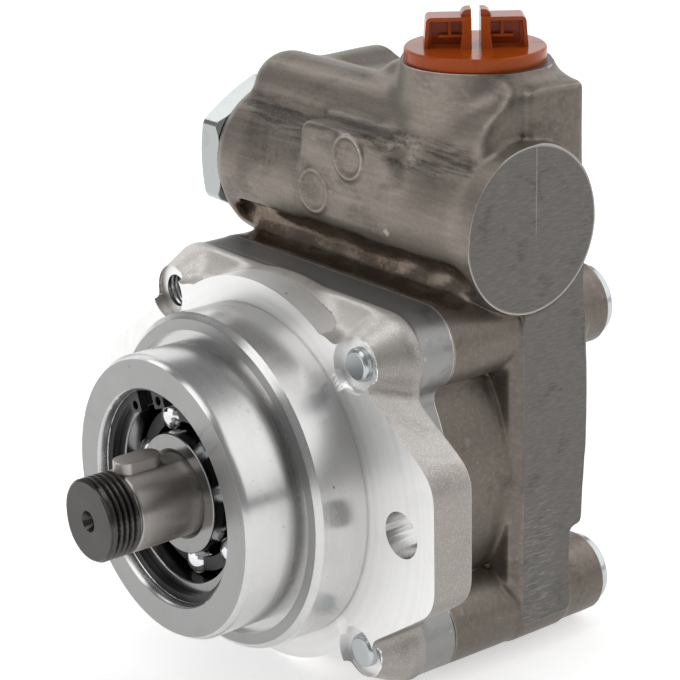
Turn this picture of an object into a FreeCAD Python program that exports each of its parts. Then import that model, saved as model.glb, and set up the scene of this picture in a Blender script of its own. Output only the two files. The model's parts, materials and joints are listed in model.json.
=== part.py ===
import FreeCAD, Part
import math
import os

import Sketcher

# Vane-type power steering pump, millimetres.
# Origin: the shaft's axis at the face of the two-bolt mounting flange.
# The shaft runs along Y with its threaded end towards -Y. +Z is up, towards the suction port.

VECTOR = FreeCAD.Vector
NO_TURN = FreeCAD.Rotation()
TURN = {
    "X": FreeCAD.Rotation(VECTOR(0, 1, 0), 90),
    "Y": FreeCAD.Rotation(VECTOR(1, 0, 0), -90),
    "Z": NO_TURN,
}

doc = FreeCAD.newDocument("PowerSteeringPump")
sheet = doc.addObject("Spreadsheet::Sheet", "Sizes")
nodes = []


# Driving dimensions: alias, value, what it is
SIZES = [
    # Nose, pilot and flange of the front cover
    ("nose_length", 29.0, "nose face to flange face"),
    ("nose_radius", 34.6, "turned nose"),
    ("nose_chamfer_length", 1.6, "nose chamfer along the axis"),
    ("nose_chamfer_height", 1.0, "nose chamfer across the axis"),
    ("pilot_radius", 41.275, "standard pilot, 82.55 mm across"),
    ("pilot_length", 14.0, "flange face to the pilot's front step"),
    ("pilot_chamfer", 1.4, "chamfer at the pilot's front"),
    ("step_groove_width", 2.6, "ring groove round the nose in the step face"),
    ("step_groove_depth", 1.5, "depth of that groove"),
    ("flange_disc_radius", 47.5, "round middle of the flange"),
    ("flange_thickness", 12.0, "flange plate"),
    ("ear_tip", 11.3, "mounting hole's axis to the end of its ear"),
    ("ear_half_height", 15.45, "ear end, before its corners are rounded"),
    ("ear_corner_radius", 9.5, "rounding of the ear's corners"),
    ("ear_root_across", 27.6, "where the slanted ear edge meets the disc"),
    ("ear_root_up", 40.6, "where the slanted ear edge meets the disc"),
    ("mount_hole_offset", 53.2, "half of the standard hole spacing of 106.4 mm"),
    ("mount_hole_radius", 5.55, "mounting hole"),
    ("barrel_radius", 45.5, "cover behind the flange"),
    ("web_start", 7.0, "front of the flat top and bottom between the cover's bosses"),
    ("web_slope", 4.0, "sloped front edge of those flats"),
    ("cover_depth", 22.0, "flange face to the joint with the housing"),
    ("shaft_tunnel_radius", 12.0, "bore for the shaft behind the seal"),
    # Cover bosses and housing bolts
    ("bolt_across", 36.4, "bolt axis from the shaft axis, along X"),
    ("bolt_up", 35.65, "bolt axis from the shaft axis, along Z"),
    ("bolt_radius", 4.0, "M8 bolt"),
    ("bolt_hole_clearance", 0.35, "bolt hole over the bolt"),
    ("thread_clearance", 0.04, "tapped hole over the bolt's crests"),
    ("bolt_tip_y", 1.0, "tip of a long bolt behind the flange face"),
    ("short_bolt_cut", 9.0, "how much shorter the upper left bolt is"),
    ("bolt_tip_chamfer", 0.8, "chamfer at the bolt's tip"),
    ("bolt_head_radius", 9.0, "low round bolt head"),
    ("bolt_head_height", 3.2, "low round bolt head"),
    ("bolt_head_round", 0.7, "edge of the bolt head"),
    ("bolt_socket_width", 5.0, "hexagon socket across its flats"),
    ("bolt_socket_depth", 2.4, "hexagon socket"),
    ("notch_radius", 6.4, "spot face round each bolt tip"),
    ("notch_depth", 3.0, "spot face round each bolt tip"),
    ("cover_boss_radius", 10.5, "boss round each bolt"),
    ("cover_boss_tip_radius", 7.0, "front end of the boss"),
    ("cover_boss_cone", 7.0, "length of the boss's cone"),
    # Shaft
    ("shaft_radius", 10.0, "drive end and bearing seat"),
    ("shaft_end_y", 49.0, "flange face to the shaft's threaded end"),
    ("shaft_chamfer", 0.6, "chamfer of the threaded end"),
    ("thread_length", 8.0, "M20 x 1.5 thread"),
    ("relief_width", 1.0, "relief behind the thread"),
    ("relief_depth", 0.9, "relief behind the thread"),
    ("centre_hole_radius", 2.6, "centre drilling"),
    ("centre_hole_depth", 4.5, "centre drilling"),
    ("collar_radius", 12.4, "collar behind the bearing"),
    ("collar_width", 1.4, "collar behind the bearing"),
    ("rotor_seat_radius", 8.6, "root of the shaft's splines"),
    ("spline_height", 1.2, "spline tooth"),
    ("spline_width", 2.6, "spline tooth"),
    ("journal_radius", 8.0, "rear journal"),
    ("journal_length", 13.0, "rear journal behind the rotor's snap ring"),
    ("running_clearance", 0.03, "radial gap of shaft, spool and spline fits"),
    ("fit_clearance", 0.05, "gap between seated pieces"),
    # Key
    ("key_length", 12.0, "shaft key"),
    ("key_width", 6.0, "shaft key"),
    ("key_height", 6.0, "shaft key"),
    ("key_stand_out", 2.5, "key above the shaft"),
    ("key_gap", 0.02, "key in its seat"),
    # Front bearing 20 x 52 x 15 and its circlip
    ("bearing_radius", 26.0, "outer ring"),
    ("bearing_width", 15.0, "both rings"),
    ("bearing_inner_shoulder", 14.7, "inner ring's shoulder"),
    ("bearing_outer_shoulder", 21.8, "outer ring's shoulder"),
    ("bearing_edge", 1.0, "chamfers of the rings"),
    ("ball_radius", 4.75, "balls"),
    ("ball_pitch_radius", 18.2, "circle of the ball centres"),
    ("ball_clearance", 0.1, "ball to track and cage"),
    ("cage_inner_radius", 16.6, "cage"),
    ("cage_outer_radius", 19.9, "cage"),
    ("cage_front", 3.3, "cage in front of the ball centres"),
    ("cage_rear", 5.6, "cage behind the ball centres"),
    ("clip_inset", 2.8, "nose face to the circlip"),
    ("clip_thickness", 2.0, "circlip"),
    ("clip_width", 2.9, "circlip, across its band"),
    ("clip_bite", 1.2, "circlip beyond the bearing bore"),
    ("clip_gap_width", 6.0, "gap between the circlip's ends"),
    ("clip_lug_length", 3.6, "lug at each end of the circlip"),
    ("clip_lug_width", 4.4, "lug at each end of the circlip"),
    ("clip_eye_radius", 1.1, "hole in each lug"),
    ("mouth_chamfer", 0.7, "mouth of the bearing bore"),
    # Shaft seal 20 x 35 x 7
    ("seal_radius", 17.5, "seal case"),
    ("seal_width", 7.0, "seal case"),
    ("seal_case", 1.2, "wall of the seal case"),
    ("seal_lip_height", 4.6, "lip along the shaft"),
    ("garter_radius", 0.8, "garter spring's section"),
    # Housing
    ("neck_radius", 44.5, "neck behind the joint"),
    ("neck_depth", 18.5, "joint to the rear block"),
    ("block_depth", 23.5, "rear block"),
    ("block_half_width", 47.0, "rear block, along X"),
    ("block_half_height", 46.2, "rear block, along Z"),
    ("block_chamfer", 2.8, "front edge of the rear block"),
    ("block_corner_radius", 10.4, "corners of the rear block"),
    ("lower_recess", 5.4, "how far the lower part of the back is set in"),
    ("lower_recess_top", 18.0, "top of that part, under the shaft axis"),
    ("recess_slope", 1.6, "height of the sloped edge above it"),
    ("housing_boss_radius", 10.2, "boss round each bolt"),
    ("housing_boss_rise", 6.8, "rear bosses beyond the block"),
    ("cavity_radius", 35.5, "chamber of the pump's works"),
    ("ring_groove_radius", 39.4, "middle of the joint's O-ring groove"),
    ("joint_ring_radius", 1.05, "section of the joint's O-ring"),
    ("bush_wall", 2.0, "rear bush"),
    ("bush_length", 6.5, "rear bush"),
    # Valve cylinder, ridge and blocks on top of the housing
    ("valve_y", 44.5, "valve axis behind the flange face"),
    ("valve_up", 61.3, "valve axis above the shaft axis"),
    ("valve_radius", 20.0, "outside of the valve cylinder"),
    ("valve_end", 48.0, "milled end, on +X"),
    ("valve_plug_end", 50.0, "plug end, on -X"),
    ("sleeve_radius", 20.6, "thicker left part of the cylinder"),
    ("sleeve_end", 14.5, "where that part ends, on -X"),
    ("sleeve_taper_length", 4.0, "taper at the plug end"),
    ("sleeve_taper_height", 2.6, "taper at the plug end"),
    ("sleeve_step_length", 6.0, "slope where the thicker part ends"),
    ("ridge_y", 43.2, "axis of the small ridge"),
    ("ridge_up", 80.0, "axis of the small ridge"),
    ("ridge_radius", 9.7, "small ridge"),
    ("ridge_left_end", 49.5, "rounded end of the ridge, on -X"),
    ("pad_left", 13.0, "flat front pad, on -X"),
    ("pad_right", 20.0, "flat front pad, on +X"),
    ("pad_y", 24.6, "face of the front pad"),
    ("pad_bottom", 57.0, "front pad"),
    ("pad_top", 80.0, "front pad"),
    ("pad_round", 3.0, "corners of the front pad"),
    ("ring_mark_radius", 5.6, "blank raised ring on the pad"),
    ("ring_mark_width", 0.7, "blank raised ring on the pad"),
    ("ring_mark_rise", 0.35, "blank raised ring on the pad"),
    ("upper_ring_across", 6.0, "upper ring"),
    ("upper_ring_up", 74.0, "upper ring"),
    ("lower_ring_across", 7.4, "lower ring, on -X"),
    ("lower_ring_up", 63.3, "lower ring"),
    ("top_up", 92.8, "top of the rear wall"),
    ("top_left", 3.0, "raised part of the rear wall, on -X"),
    ("top_right", 45.4, "rear wall, on +X"),
    ("top_front_y", 43.0, "rear wall"),
    ("top_rear_y", 64.6, "rear wall"),
    ("top_corner_radius", 3.5, "corners of the rear wall"),
    ("top_low_up", 86.0, "lower left part of the rear wall"),
    ("web_front_y", 31.0, "web between the neck and the valve"),
    ("web_half_width", 40.0, "web between the neck and the valve"),
    ("web_low", 34.0, "bottom of the web"),
    ("web_high", 56.0, "top of the web"),
    # Suction port and its plug
    ("suction_across", 20.5, "suction port axis, on +X"),
    ("suction_y", 51.5, "suction port axis"),
    ("suction_radius", 17.8, "suction boss"),
    ("suction_up", 96.0, "face of the suction boss"),
    ("suction_bore_radius", 13.0, "suction port"),
    ("suction_bore_depth", 14.0, "suction port"),
    ("suction_edge", 1.2, "edge of the suction boss"),
    ("suction_passage_radius", 4.5, "passage down into the chamber"),
    ("cap_radius", 16.8, "plug's flange"),
    ("cap_thickness", 3.2, "plug's flange"),
    ("cap_edge", 0.4, "edge of the plug's flange"),
    ("cap_stem_length", 9.0, "plug's stem in the port"),
    ("cap_stem_wall", 1.8, "plug's stem"),
    ("cap_stem_clearance", 0.06, "plug's stem in the port"),
    ("grip_half_width", 12.2, "plug's grip, from its middle"),
    ("grip_half_depth", 3.8, "plug's grip, front to back"),
    ("grip_height", 7.2, "plug's grip above its flange"),
    ("grip_slot", 2.2, "slot through the grip"),
    ("grip_wall", 1.3, "walls of the grip"),
    ("grip_post_width", 2.4, "post beside the slot"),
    ("grip_post_height", 10.0, "post beside the slot"),
    ("grip_pocket", 2.6, "depth of each pocket"),
    ("grip_corner", 1.2, "upper outer corners of the grip, rounded"),
    ("grip_draft", 0.6, "outer ends of the grip, drafted"),
    # Pressure port and its plug, at the back
    ("outlet_across", 33.0, "pressure port axis, on -X"),
    ("outlet_up", 76.0, "pressure port axis"),
    ("outlet_radius", 12.5, "pressure boss"),
    ("outlet_y", 67.0, "face of the pressure boss"),
    ("outlet_bore_radius", 8.0, "M16 x 1.5 pressure port"),
    ("outlet_bore_depth", 11.0, "pressure port"),
    ("outlet_passage_radius", 3.0, "passage to the valve"),
    ("outlet_cap_radius", 11.0, "plug's flange"),
    ("outlet_cap_thickness", 2.4, "plug's flange"),
    ("outlet_grip_height", 6.0, "plug's grip"),
    ("outlet_grip_width", 14.0, "plug's grip"),
    ("outlet_grip_thickness", 3.0, "plug's grip"),
    # Valve bore, spool, spring and plug
    ("spool_radius", 11.0, "valve bore"),
    ("valve_bore_end", 38.0, "blind end of the bore, on +X"),
    ("spool_length", 50.0, "spool"),
    ("spool_nose_radius", 6.0, "stop at the spool's end"),
    ("spool_nose_length", 2.0, "stop at the spool's end"),
    ("spool_land", 14.0, "front land of the spool"),
    ("spool_groove", 16.0, "groove between the lands"),
    ("spool_groove_depth", 3.0, "groove between the lands"),
    ("spool_pocket_radius", 8.7, "spring's pocket in the spool"),
    ("spool_pocket_depth", 12.0, "spring's pocket in the spool"),
    ("spring_radius", 7.4, "middle of the spring's wire"),
    ("spring_wire_radius", 0.8, "spring's wire"),
    ("spring_coils", 8.0, "turns of the spring"),
    ("plug_thread_radius", 13.4, "M27 x 1.5 plug"),
    ("plug_thread_length", 13.0, "plug in the bore"),
    ("plug_pocket_depth", 10.0, "spring's pocket in the plug"),
    ("plug_flats", 34.0, "plug's hexagon across its flats"),
    ("plug_head_length", 7.8, "plug's hexagon"),
    ("plug_corner_radius", 19.2, "hexagon's corners, turned"),
    ("plug_gap", 0.8, "plug's head to the housing"),
    ("plug_ring_radius", 1.0, "section of the plug's O-ring"),
    # Works in the chamber
    ("works_clearance", 0.1, "plates and cam ring in the chamber"),
    ("side_plate_thickness", 4.0, "side plate"),
    ("cam_width", 16.0, "cam ring"),
    ("cam_major", 27.2, "cam bore, long half axis"),
    ("cam_minor", 24.2, "cam bore, short half axis"),
    ("rotor_radius", 23.4, "rotor"),
    ("rotor_side_clearance", 0.03, "rotor to each plate"),
    ("vane_thickness", 1.6, "vane"),
    ("vane_height", 8.2, "vane"),
    ("vane_stand_out", 0.5, "vane beyond the rotor"),
    ("vane_clearance", 0.03, "vane in its slot"),
    ("vane_slot_room", 1.0, "slot below the vane"),
    ("pressure_plate_thickness", 8.0, "pressure plate"),
    ("plate_ring_radius", 1.1, "section of the pressure plate's O-ring"),
    ("plate_hole_radius", 9.6, "middle hole of the pressure plate"),
    ("spring_room", 4.0, "pressure plate to the chamber's end"),
    ("disc_spring_thickness", 1.2, "disc spring"),
    ("disc_spring_outer", 30.0, "disc spring"),
    ("disc_spring_inner", 16.0, "disc spring"),
    ("dowel_radius", 2.5, "dowel pins"),
    ("dowel_offset", 30.8, "dowel pins from the shaft axis"),
    ("dowel_seat", 4.0, "dowel pins in the cover"),
    ("port_radius", 3.0, "oil ports in the plates"),
    ("port_offset", 29.6, "oil ports from the shaft axis"),
    ("snap_ring_thickness", 1.5, "rotor's snap ring"),
    ("snap_ring_width", 1.8, "rotor's snap ring"),
    ("snap_ring_depth", 0.8, "its groove in the shaft"),
]

BALLS = 7
VANES = 10
SPLINES = 8
PLUG_TURN = 0.0
GRIP_ANGLE = 51.8
POLE_ANGLE = -45.0
CLIP_GAP_ANGLE = 111.0


class Size:
    """A length and the sheet expression that gives it."""

    def __init__(self, value, text):
        self.value = value
        self.text = text

    def __add__(self, other):
        other = as_size(other)
        return Size(self.value + other.value, "(%s + %s)" % (self.text, other.text))

    def __sub__(self, other):
        other = as_size(other)
        return Size(self.value - other.value, "(%s - %s)" % (self.text, other.text))

    def __mul__(self, factor):
        factor = as_size(factor)
        return Size(self.value * factor.value, "(%s * %s)" % (self.text, factor.text))

    def __truediv__(self, divisor):
        divisor = as_size(divisor)
        return Size(self.value / divisor.value, "(%s / %s)" % (self.text, divisor.text))

    def __neg__(self):
        return Size(-self.value, "(0 - %s)" % self.text)

    __radd__ = __add__
    __rmul__ = __mul__


def as_size(number):
    """Turn a plain number into a Size."""
    if isinstance(number, Size):
        return number
    return Size(float(number), "%.9f" % number)


def fill_sheet():
    """Write each size into its own row and give its cell an alias."""
    for row, (alias, value, note) in enumerate(SIZES, start=1):
        sheet.set("A%d" % row, note)
        sheet.set("B%d" % row, "%g" % value)
        sheet.setAlias("B%d" % row, alias)
    doc.recompute()
    return {alias: Size(float(sheet.get(alias)), "Sizes.%s" % alias) for alias, value, note in SIZES}


s = fill_sheet()


def bind(item, **properties):
    """Tie properties of an object to sizes."""
    for name, size in properties.items():
        size = as_size(size)
        setattr(item, name, size.value)
        item.setExpression(name, size.text)


def place(item, centre, rotation=NO_TURN):
    """Put an object at a point that follows the sizes."""
    x, y, z = (as_size(part) for part in centre)
    item.Placement = FreeCAD.Placement(VECTOR(x.value, y.value, z.value), rotation)
    item.setExpression("Placement.Base.x", x.text)
    item.setExpression("Placement.Base.y", y.text)
    item.setExpression("Placement.Base.z", z.text)


def cylinder(name, axis, radius, centre, length):
    """A cylinder from a centre along an axis."""
    item = doc.addObject("Part::Cylinder", name)
    bind(item, Radius=radius, Height=length)
    place(item, centre, TURN[axis])
    return item


def cone(name, axis, start_radius, end_radius, centre, length):
    """A cone frustum from a centre along an axis."""
    item = doc.addObject("Part::Cone", name)
    bind(item, Radius1=start_radius, Radius2=end_radius, Height=length)
    place(item, centre, TURN[axis])
    return item


def torus(name, axis, ring_radius, section_radius, centre):
    """A ring of round section about an axis."""
    item = doc.addObject("Part::Torus", name)
    bind(item, Radius1=ring_radius, Radius2=section_radius)
    place(item, centre, TURN[axis])
    return item


def sphere(name, radius, centre, rotation=NO_TURN):
    """A ball."""
    item = doc.addObject("Part::Sphere", name)
    bind(item, Radius=radius)
    place(item, centre, rotation)
    return item


def box(name, low, high, angle=0.0, axis="Z", pivot=(0, 0, 0)):
    """A box between two corners, turned about an axis through a pivot."""
    low = [as_size(part) for part in low]
    high = [as_size(part) for part in high]
    pivot = [as_size(part) for part in pivot]
    item = doc.addObject("Part::Box", name)
    bind(item, Length=high[0] - low[0], Width=high[1] - low[1], Height=high[2] - low[2])
    cosine = math.cos(math.radians(angle))
    sine = math.sin(math.radians(angle))
    x, y, z = low
    if axis == "Y":
        corner = [x * cosine + z * sine, y, z * cosine - x * sine]
        rotation = FreeCAD.Rotation(VECTOR(0, 1, 0), angle)
    else:
        corner = [x * cosine - y * sine, x * sine + y * cosine, z]
        rotation = FreeCAD.Rotation(VECTOR(0, 0, 1), angle)
    place(item, [part + offset for part, offset in zip(corner, pivot)], rotation)
    return item


def prism(name, axis, flats, centre, length, turn=0.0):
    """A hexagonal bar across its flats, from a centre along an axis."""
    item = doc.addObject("Part::Prism", name)
    item.Polygon = 6
    bind(item, Circumradius=flats / math.sqrt(3.0), Height=length)
    spin = FreeCAD.Rotation(VECTOR(0, 0, 1), turn)
    place(item, centre, TURN[axis].multiply(spin))
    return item


def fuse(name, items):
    """Join solids that are one casting or one piece."""
    item = doc.addObject("Part::MultiFuse", name)
    item.Shapes = items
    item.Refine = True
    return item


def cut(name, base, tools):
    """Take tools away from a base."""
    item = doc.addObject("Part::Cut", name)
    item.Base = base
    item.Tool = tools[0] if len(tools) == 1 else fuse(name + "_tools", tools)
    return item


def common(name, first, second):
    """Keep what two solids share."""
    item = doc.addObject("Part::Common", name)
    item.Base = first
    item.Tool = second
    return item


def draw(body, plane_role, points):
    """A closed outline of straight lines on one of a body's own planes."""
    points = [(as_size(across), as_size(up)) for across, up in points]
    sketch = body.newObject("Sketcher::SketchObject", body.Name + "_outline")
    plane = [item for item in body.Origin.OriginFeatures if item.Role == plane_role][0]
    sketch.AttachmentSupport = (plane, [""])
    sketch.MapMode = "FlatFace"
    ends = [VECTOR(across.value, up.value, 0) for across, up in points]
    following = ends[1:] + ends[:1]
    for start, end in zip(ends, following):
        sketch.addGeometry(Part.LineSegment(start, end), False)
    for index, (across, up) in enumerate(points):
        sketch.addConstraint(Sketcher.Constraint("Coincident", index, 2, (index + 1) % len(points), 1))
        flat = sketch.addConstraint(Sketcher.Constraint("DistanceX", -1, 1, index, 1, across.value))
        high = sketch.addConstraint(Sketcher.Constraint("DistanceY", -1, 1, index, 1, up.value))
        sketch.setExpression("Constraints[%d]" % flat, across.text)
        sketch.setExpression("Constraints[%d]" % high, up.text)
    return sketch


def turned(name, axis, points, centre=(0, 0, 0)):
    """A turned piece: its half section is swept once round its axis.

    Points are (radius, along) for the axes Y and Z, and (along, radius) for the axis X.
    """
    body = doc.addObject("PartDesign::Body", name)
    sketch = draw(body, "XZ_Plane" if axis == "Z" else "XY_Plane", points)
    turn = body.newObject("PartDesign::Revolution", name + "_turn")
    turn.Profile = sketch
    turn.ReferenceAxis = (sketch, ["H_Axis" if axis == "X" else "V_Axis"])
    turn.Angle = 360
    sketch.Visibility = False
    place(body, centre)
    return body


AXES = {"X": VECTOR(1, 0, 0), "Y": VECTOR(0, 1, 0), "Z": VECTOR(0, 0, 1)}


def upright(edge, axis):
    """Whether an edge runs straight along an axis."""
    return abs(edge.tangentAt(edge.FirstParameter).dot(AXES[axis])) > 0.999


def edge_names(shape, wanted):
    """Names of the edges that a test picks."""
    return ["Edge%d" % (index + 1) for index, edge in enumerate(shape.Edges) if wanted(edge)]


def round_edges(body, radius, wanted):
    """Round the edges of a body's last feature that a test picks."""
    tip = body.Tip
    rounding = body.newObject("PartDesign::Fillet", body.Name + "_rounding")
    rounding.Base = (tip, edge_names(tip.Shape, wanted))
    bind(rounding, Radius=radius)


def extruded(name, axis, points, centre, length, corner_radius=None, rotation=NO_TURN):
    """A plate or bar: an outline drawn across an axis and given a length along it."""
    planes = {"X": "YZ_Plane", "Y": "XZ_Plane", "Z": "XY_Plane"}
    body = doc.addObject("PartDesign::Body", name)
    sketch = draw(body, planes[axis], points)
    pad = body.newObject("PartDesign::Pad", name + "_pad")
    pad.Profile = sketch
    bind(pad, Length=length)
    pad.Reversed = axis == "Y"
    place(body, centre, rotation)
    if corner_radius is not None:
        doc.recompute()
        round_edges(body, corner_radius, lambda edge: upright(edge, axis))
    return body


def rectangle(low_across, low_up, high_across, high_up):
    """The four corners of a rectangle."""
    return [(low_across, low_up), (high_across, low_up), (high_across, high_up), (low_across, high_up)]


def node(item, label):
    """Name a finished sub-part after its file."""
    item.Label = label
    nodes.append(item)
    return item


# Stations along the shaft, each from the one before it
nose_y = -s["nose_length"]
clip_front_y = nose_y + s["clip_inset"]
clip_rear_y = clip_front_y + s["clip_thickness"]
bearing_front_y = clip_rear_y + s["fit_clearance"]
bearing_rear_y = bearing_front_y + s["bearing_width"]
ball_y = bearing_front_y + s["bearing_width"] / 2
collar_rear_y = bearing_rear_y + s["collar_width"]
seal_front_y = collar_rear_y + s["fit_clearance"] * 6
seal_rear_y = seal_front_y + s["seal_width"]
joint_y = s["cover_depth"]
cam_front_y = joint_y + s["side_plate_thickness"]
cam_rear_y = cam_front_y + s["cam_width"]
plate_rear_y = cam_rear_y + s["pressure_plate_thickness"]
cavity_end_y = plate_rear_y + s["spring_room"]
bush_rear_y = cavity_end_y + s["bush_length"]
block_front_y = joint_y + s["neck_depth"]
block_rear_y = block_front_y + s["block_depth"]
boss_rear_y = block_rear_y + s["housing_boss_rise"]

bolt_hole_radius = s["bolt_radius"] + s["bolt_hole_clearance"]
tapped_radius = s["bolt_radius"] + s["thread_clearance"]
BOLT_PLACES = {
    "upper_right": (s["bolt_across"], s["bolt_up"]),
    "lower_right": (s["bolt_across"], -s["bolt_up"]),
    "lower_left": (-s["bolt_across"], -s["bolt_up"]),
    "upper_left": (-s["bolt_across"], s["bolt_up"]),
}


def lugged_plate(name, radius, start_y, length):
    """A plate with flat top and bottom and a round lug at each bolt, open at its sides."""
    outer = s["bolt_across"] + radius
    top = s["bolt_up"] + radius
    lug = s["bolt_up"] - radius
    waist = s["bolt_across"] / 2
    plate = extruded(name, "Y", [
        (outer, top),
        (outer, lug),
        (waist, lug),
        (waist, -lug),
        (outer, -lug),
        (outer, -top),
        (-outer, -top),
        (-outer, -lug),
        (-waist, -lug),
        (-waist, lug),
        (-outer, lug),
        (-outer, top),
    ], (0, start_y, 0), length)
    doc.recompute()
    half = (s["bolt_across"] + radius / 2).value
    round_edges(plate, radius - s["fit_clearance"],
                lambda edge: upright(edge, "Y") and abs(edge.CenterOfMass.x) > half)
    return plate


def front_cover():
    """Nose, pilot, two-bolt flange and barrel, with the bearing and seal bores."""
    bore = s["bearing_radius"]
    groove_front_y = clip_front_y - s["fit_clearance"]
    groove_root = bore + s["clip_bite"] + s["fit_clearance"]
    step_root = s["nose_radius"] + s["step_groove_width"]
    step_y = -s["pilot_length"]
    core = turned("cover_core", "Y", [
        (bore + s["mouth_chamfer"], nose_y),
        (s["nose_radius"] - s["nose_chamfer_height"], nose_y),
        (s["nose_radius"], nose_y + s["nose_chamfer_length"]),
        (s["nose_radius"], step_y + s["step_groove_depth"]),
        (step_root, step_y + s["step_groove_depth"]),
        (step_root, step_y),
        (s["pilot_radius"] - s["pilot_chamfer"], step_y),
        (s["pilot_radius"], step_y + s["pilot_chamfer"]),
        (s["pilot_radius"], 0),
        (s["flange_disc_radius"], 0),
        (s["flange_disc_radius"], s["flange_thickness"]),
        (s["barrel_radius"], s["flange_thickness"]),
        (s["barrel_radius"], joint_y),
        (s["shaft_tunnel_radius"], joint_y),
        (s["shaft_tunnel_radius"], seal_rear_y),
        (s["seal_radius"], seal_rear_y),
        (s["seal_radius"], bearing_rear_y),
        (bore, bearing_rear_y),
        (bore, clip_rear_y + s["fit_clearance"]),
        (groove_root, clip_rear_y + s["fit_clearance"]),
        (groove_root, groove_front_y),
        (bore, groove_front_y),
        (bore, nose_y + s["mouth_chamfer"]),
    ])
    ear_reach = s["mount_hole_offset"] + s["ear_tip"]
    ears = extruded("cover_ears", "Y", [
        (ear_reach, -s["ear_half_height"]),
        (ear_reach, s["ear_half_height"]),
        (s["ear_root_across"], s["ear_root_up"]),
        (-s["ear_root_across"], s["ear_root_up"]),
        (-ear_reach, s["ear_half_height"]),
        (-ear_reach, -s["ear_half_height"]),
        (-s["ear_root_across"], -s["ear_root_up"]),
        (s["ear_root_across"], -s["ear_root_up"]),
    ], (0, 0, 0), s["flange_thickness"], s["ear_corner_radius"])
    window = cylinder("cover_window", "Y", s["shaft_tunnel_radius"] * 2, (0, 0, 0), s["flange_thickness"])
    ears = cut("cover_ear_pair", ears, [window])
    bosses = []
    openings = []
    for corner, (across, up) in BOLT_PLACES.items():
        bosses.append(cone(
            "cover_boss_tip_" + corner, "Y", s["cover_boss_tip_radius"],
            s["cover_boss_radius"] - s["fit_clearance"] * 3,
            (across, s["notch_depth"], up), s["cover_boss_cone"]))
        openings.append(cylinder(
            "cover_notch_" + corner, "Y", s["notch_radius"],
            (across, -s["notch_depth"], up), s["notch_depth"] * 2))
        openings.append(cylinder(
            "cover_tapping_" + corner, "Y", tapped_radius, (across, 0, up), joint_y * 2))
    for side, direction in (("right", 1), ("left", -1)):
        openings.append(cylinder(
            "mount_hole_" + side, "Y", s["mount_hole_radius"],
            (s["mount_hole_offset"] * direction, -s["flange_thickness"], 0), s["flange_thickness"] * 3))
    for side, direction in (("top", 1), ("bottom", -1)):
        openings.append(cylinder(
            "cover_dowel_" + side, "Y", s["dowel_radius"] + s["running_clearance"],
            (0, joint_y - s["dowel_seat"] - s["fit_clearance"], s["dowel_offset"] * direction), joint_y))
    flat = s["bolt_up"] + s["cover_boss_radius"] - s["fit_clearance"] * 2
    slope = s["web_slope"]
    lugs_y = s["notch_depth"] + s["cover_boss_cone"]
    flats = extruded("cover_flats", "X", [
        (s["web_start"], -flat + slope),
        (s["web_start"] + slope, -flat),
        (lugs_y + slope, -flat),
        (lugs_y + slope, flat),
        (s["web_start"] + slope, flat),
        (s["web_start"], flat - slope),
    ], (-s["bolt_across"], 0, 0), s["bolt_across"] * 2)
    lugs = lugged_plate("cover_lugs", s["cover_boss_radius"], lugs_y, joint_y - lugs_y)
    openings.append(cylinder("cover_tunnel", "Y", s["shaft_tunnel_radius"], (0, 0, 0), joint_y * 2))
    blank = fuse("cover_blank", [core, ears, flats, lugs] + bosses)
    return node(cut("front_cover", blank, openings), "front_cover")


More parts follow.
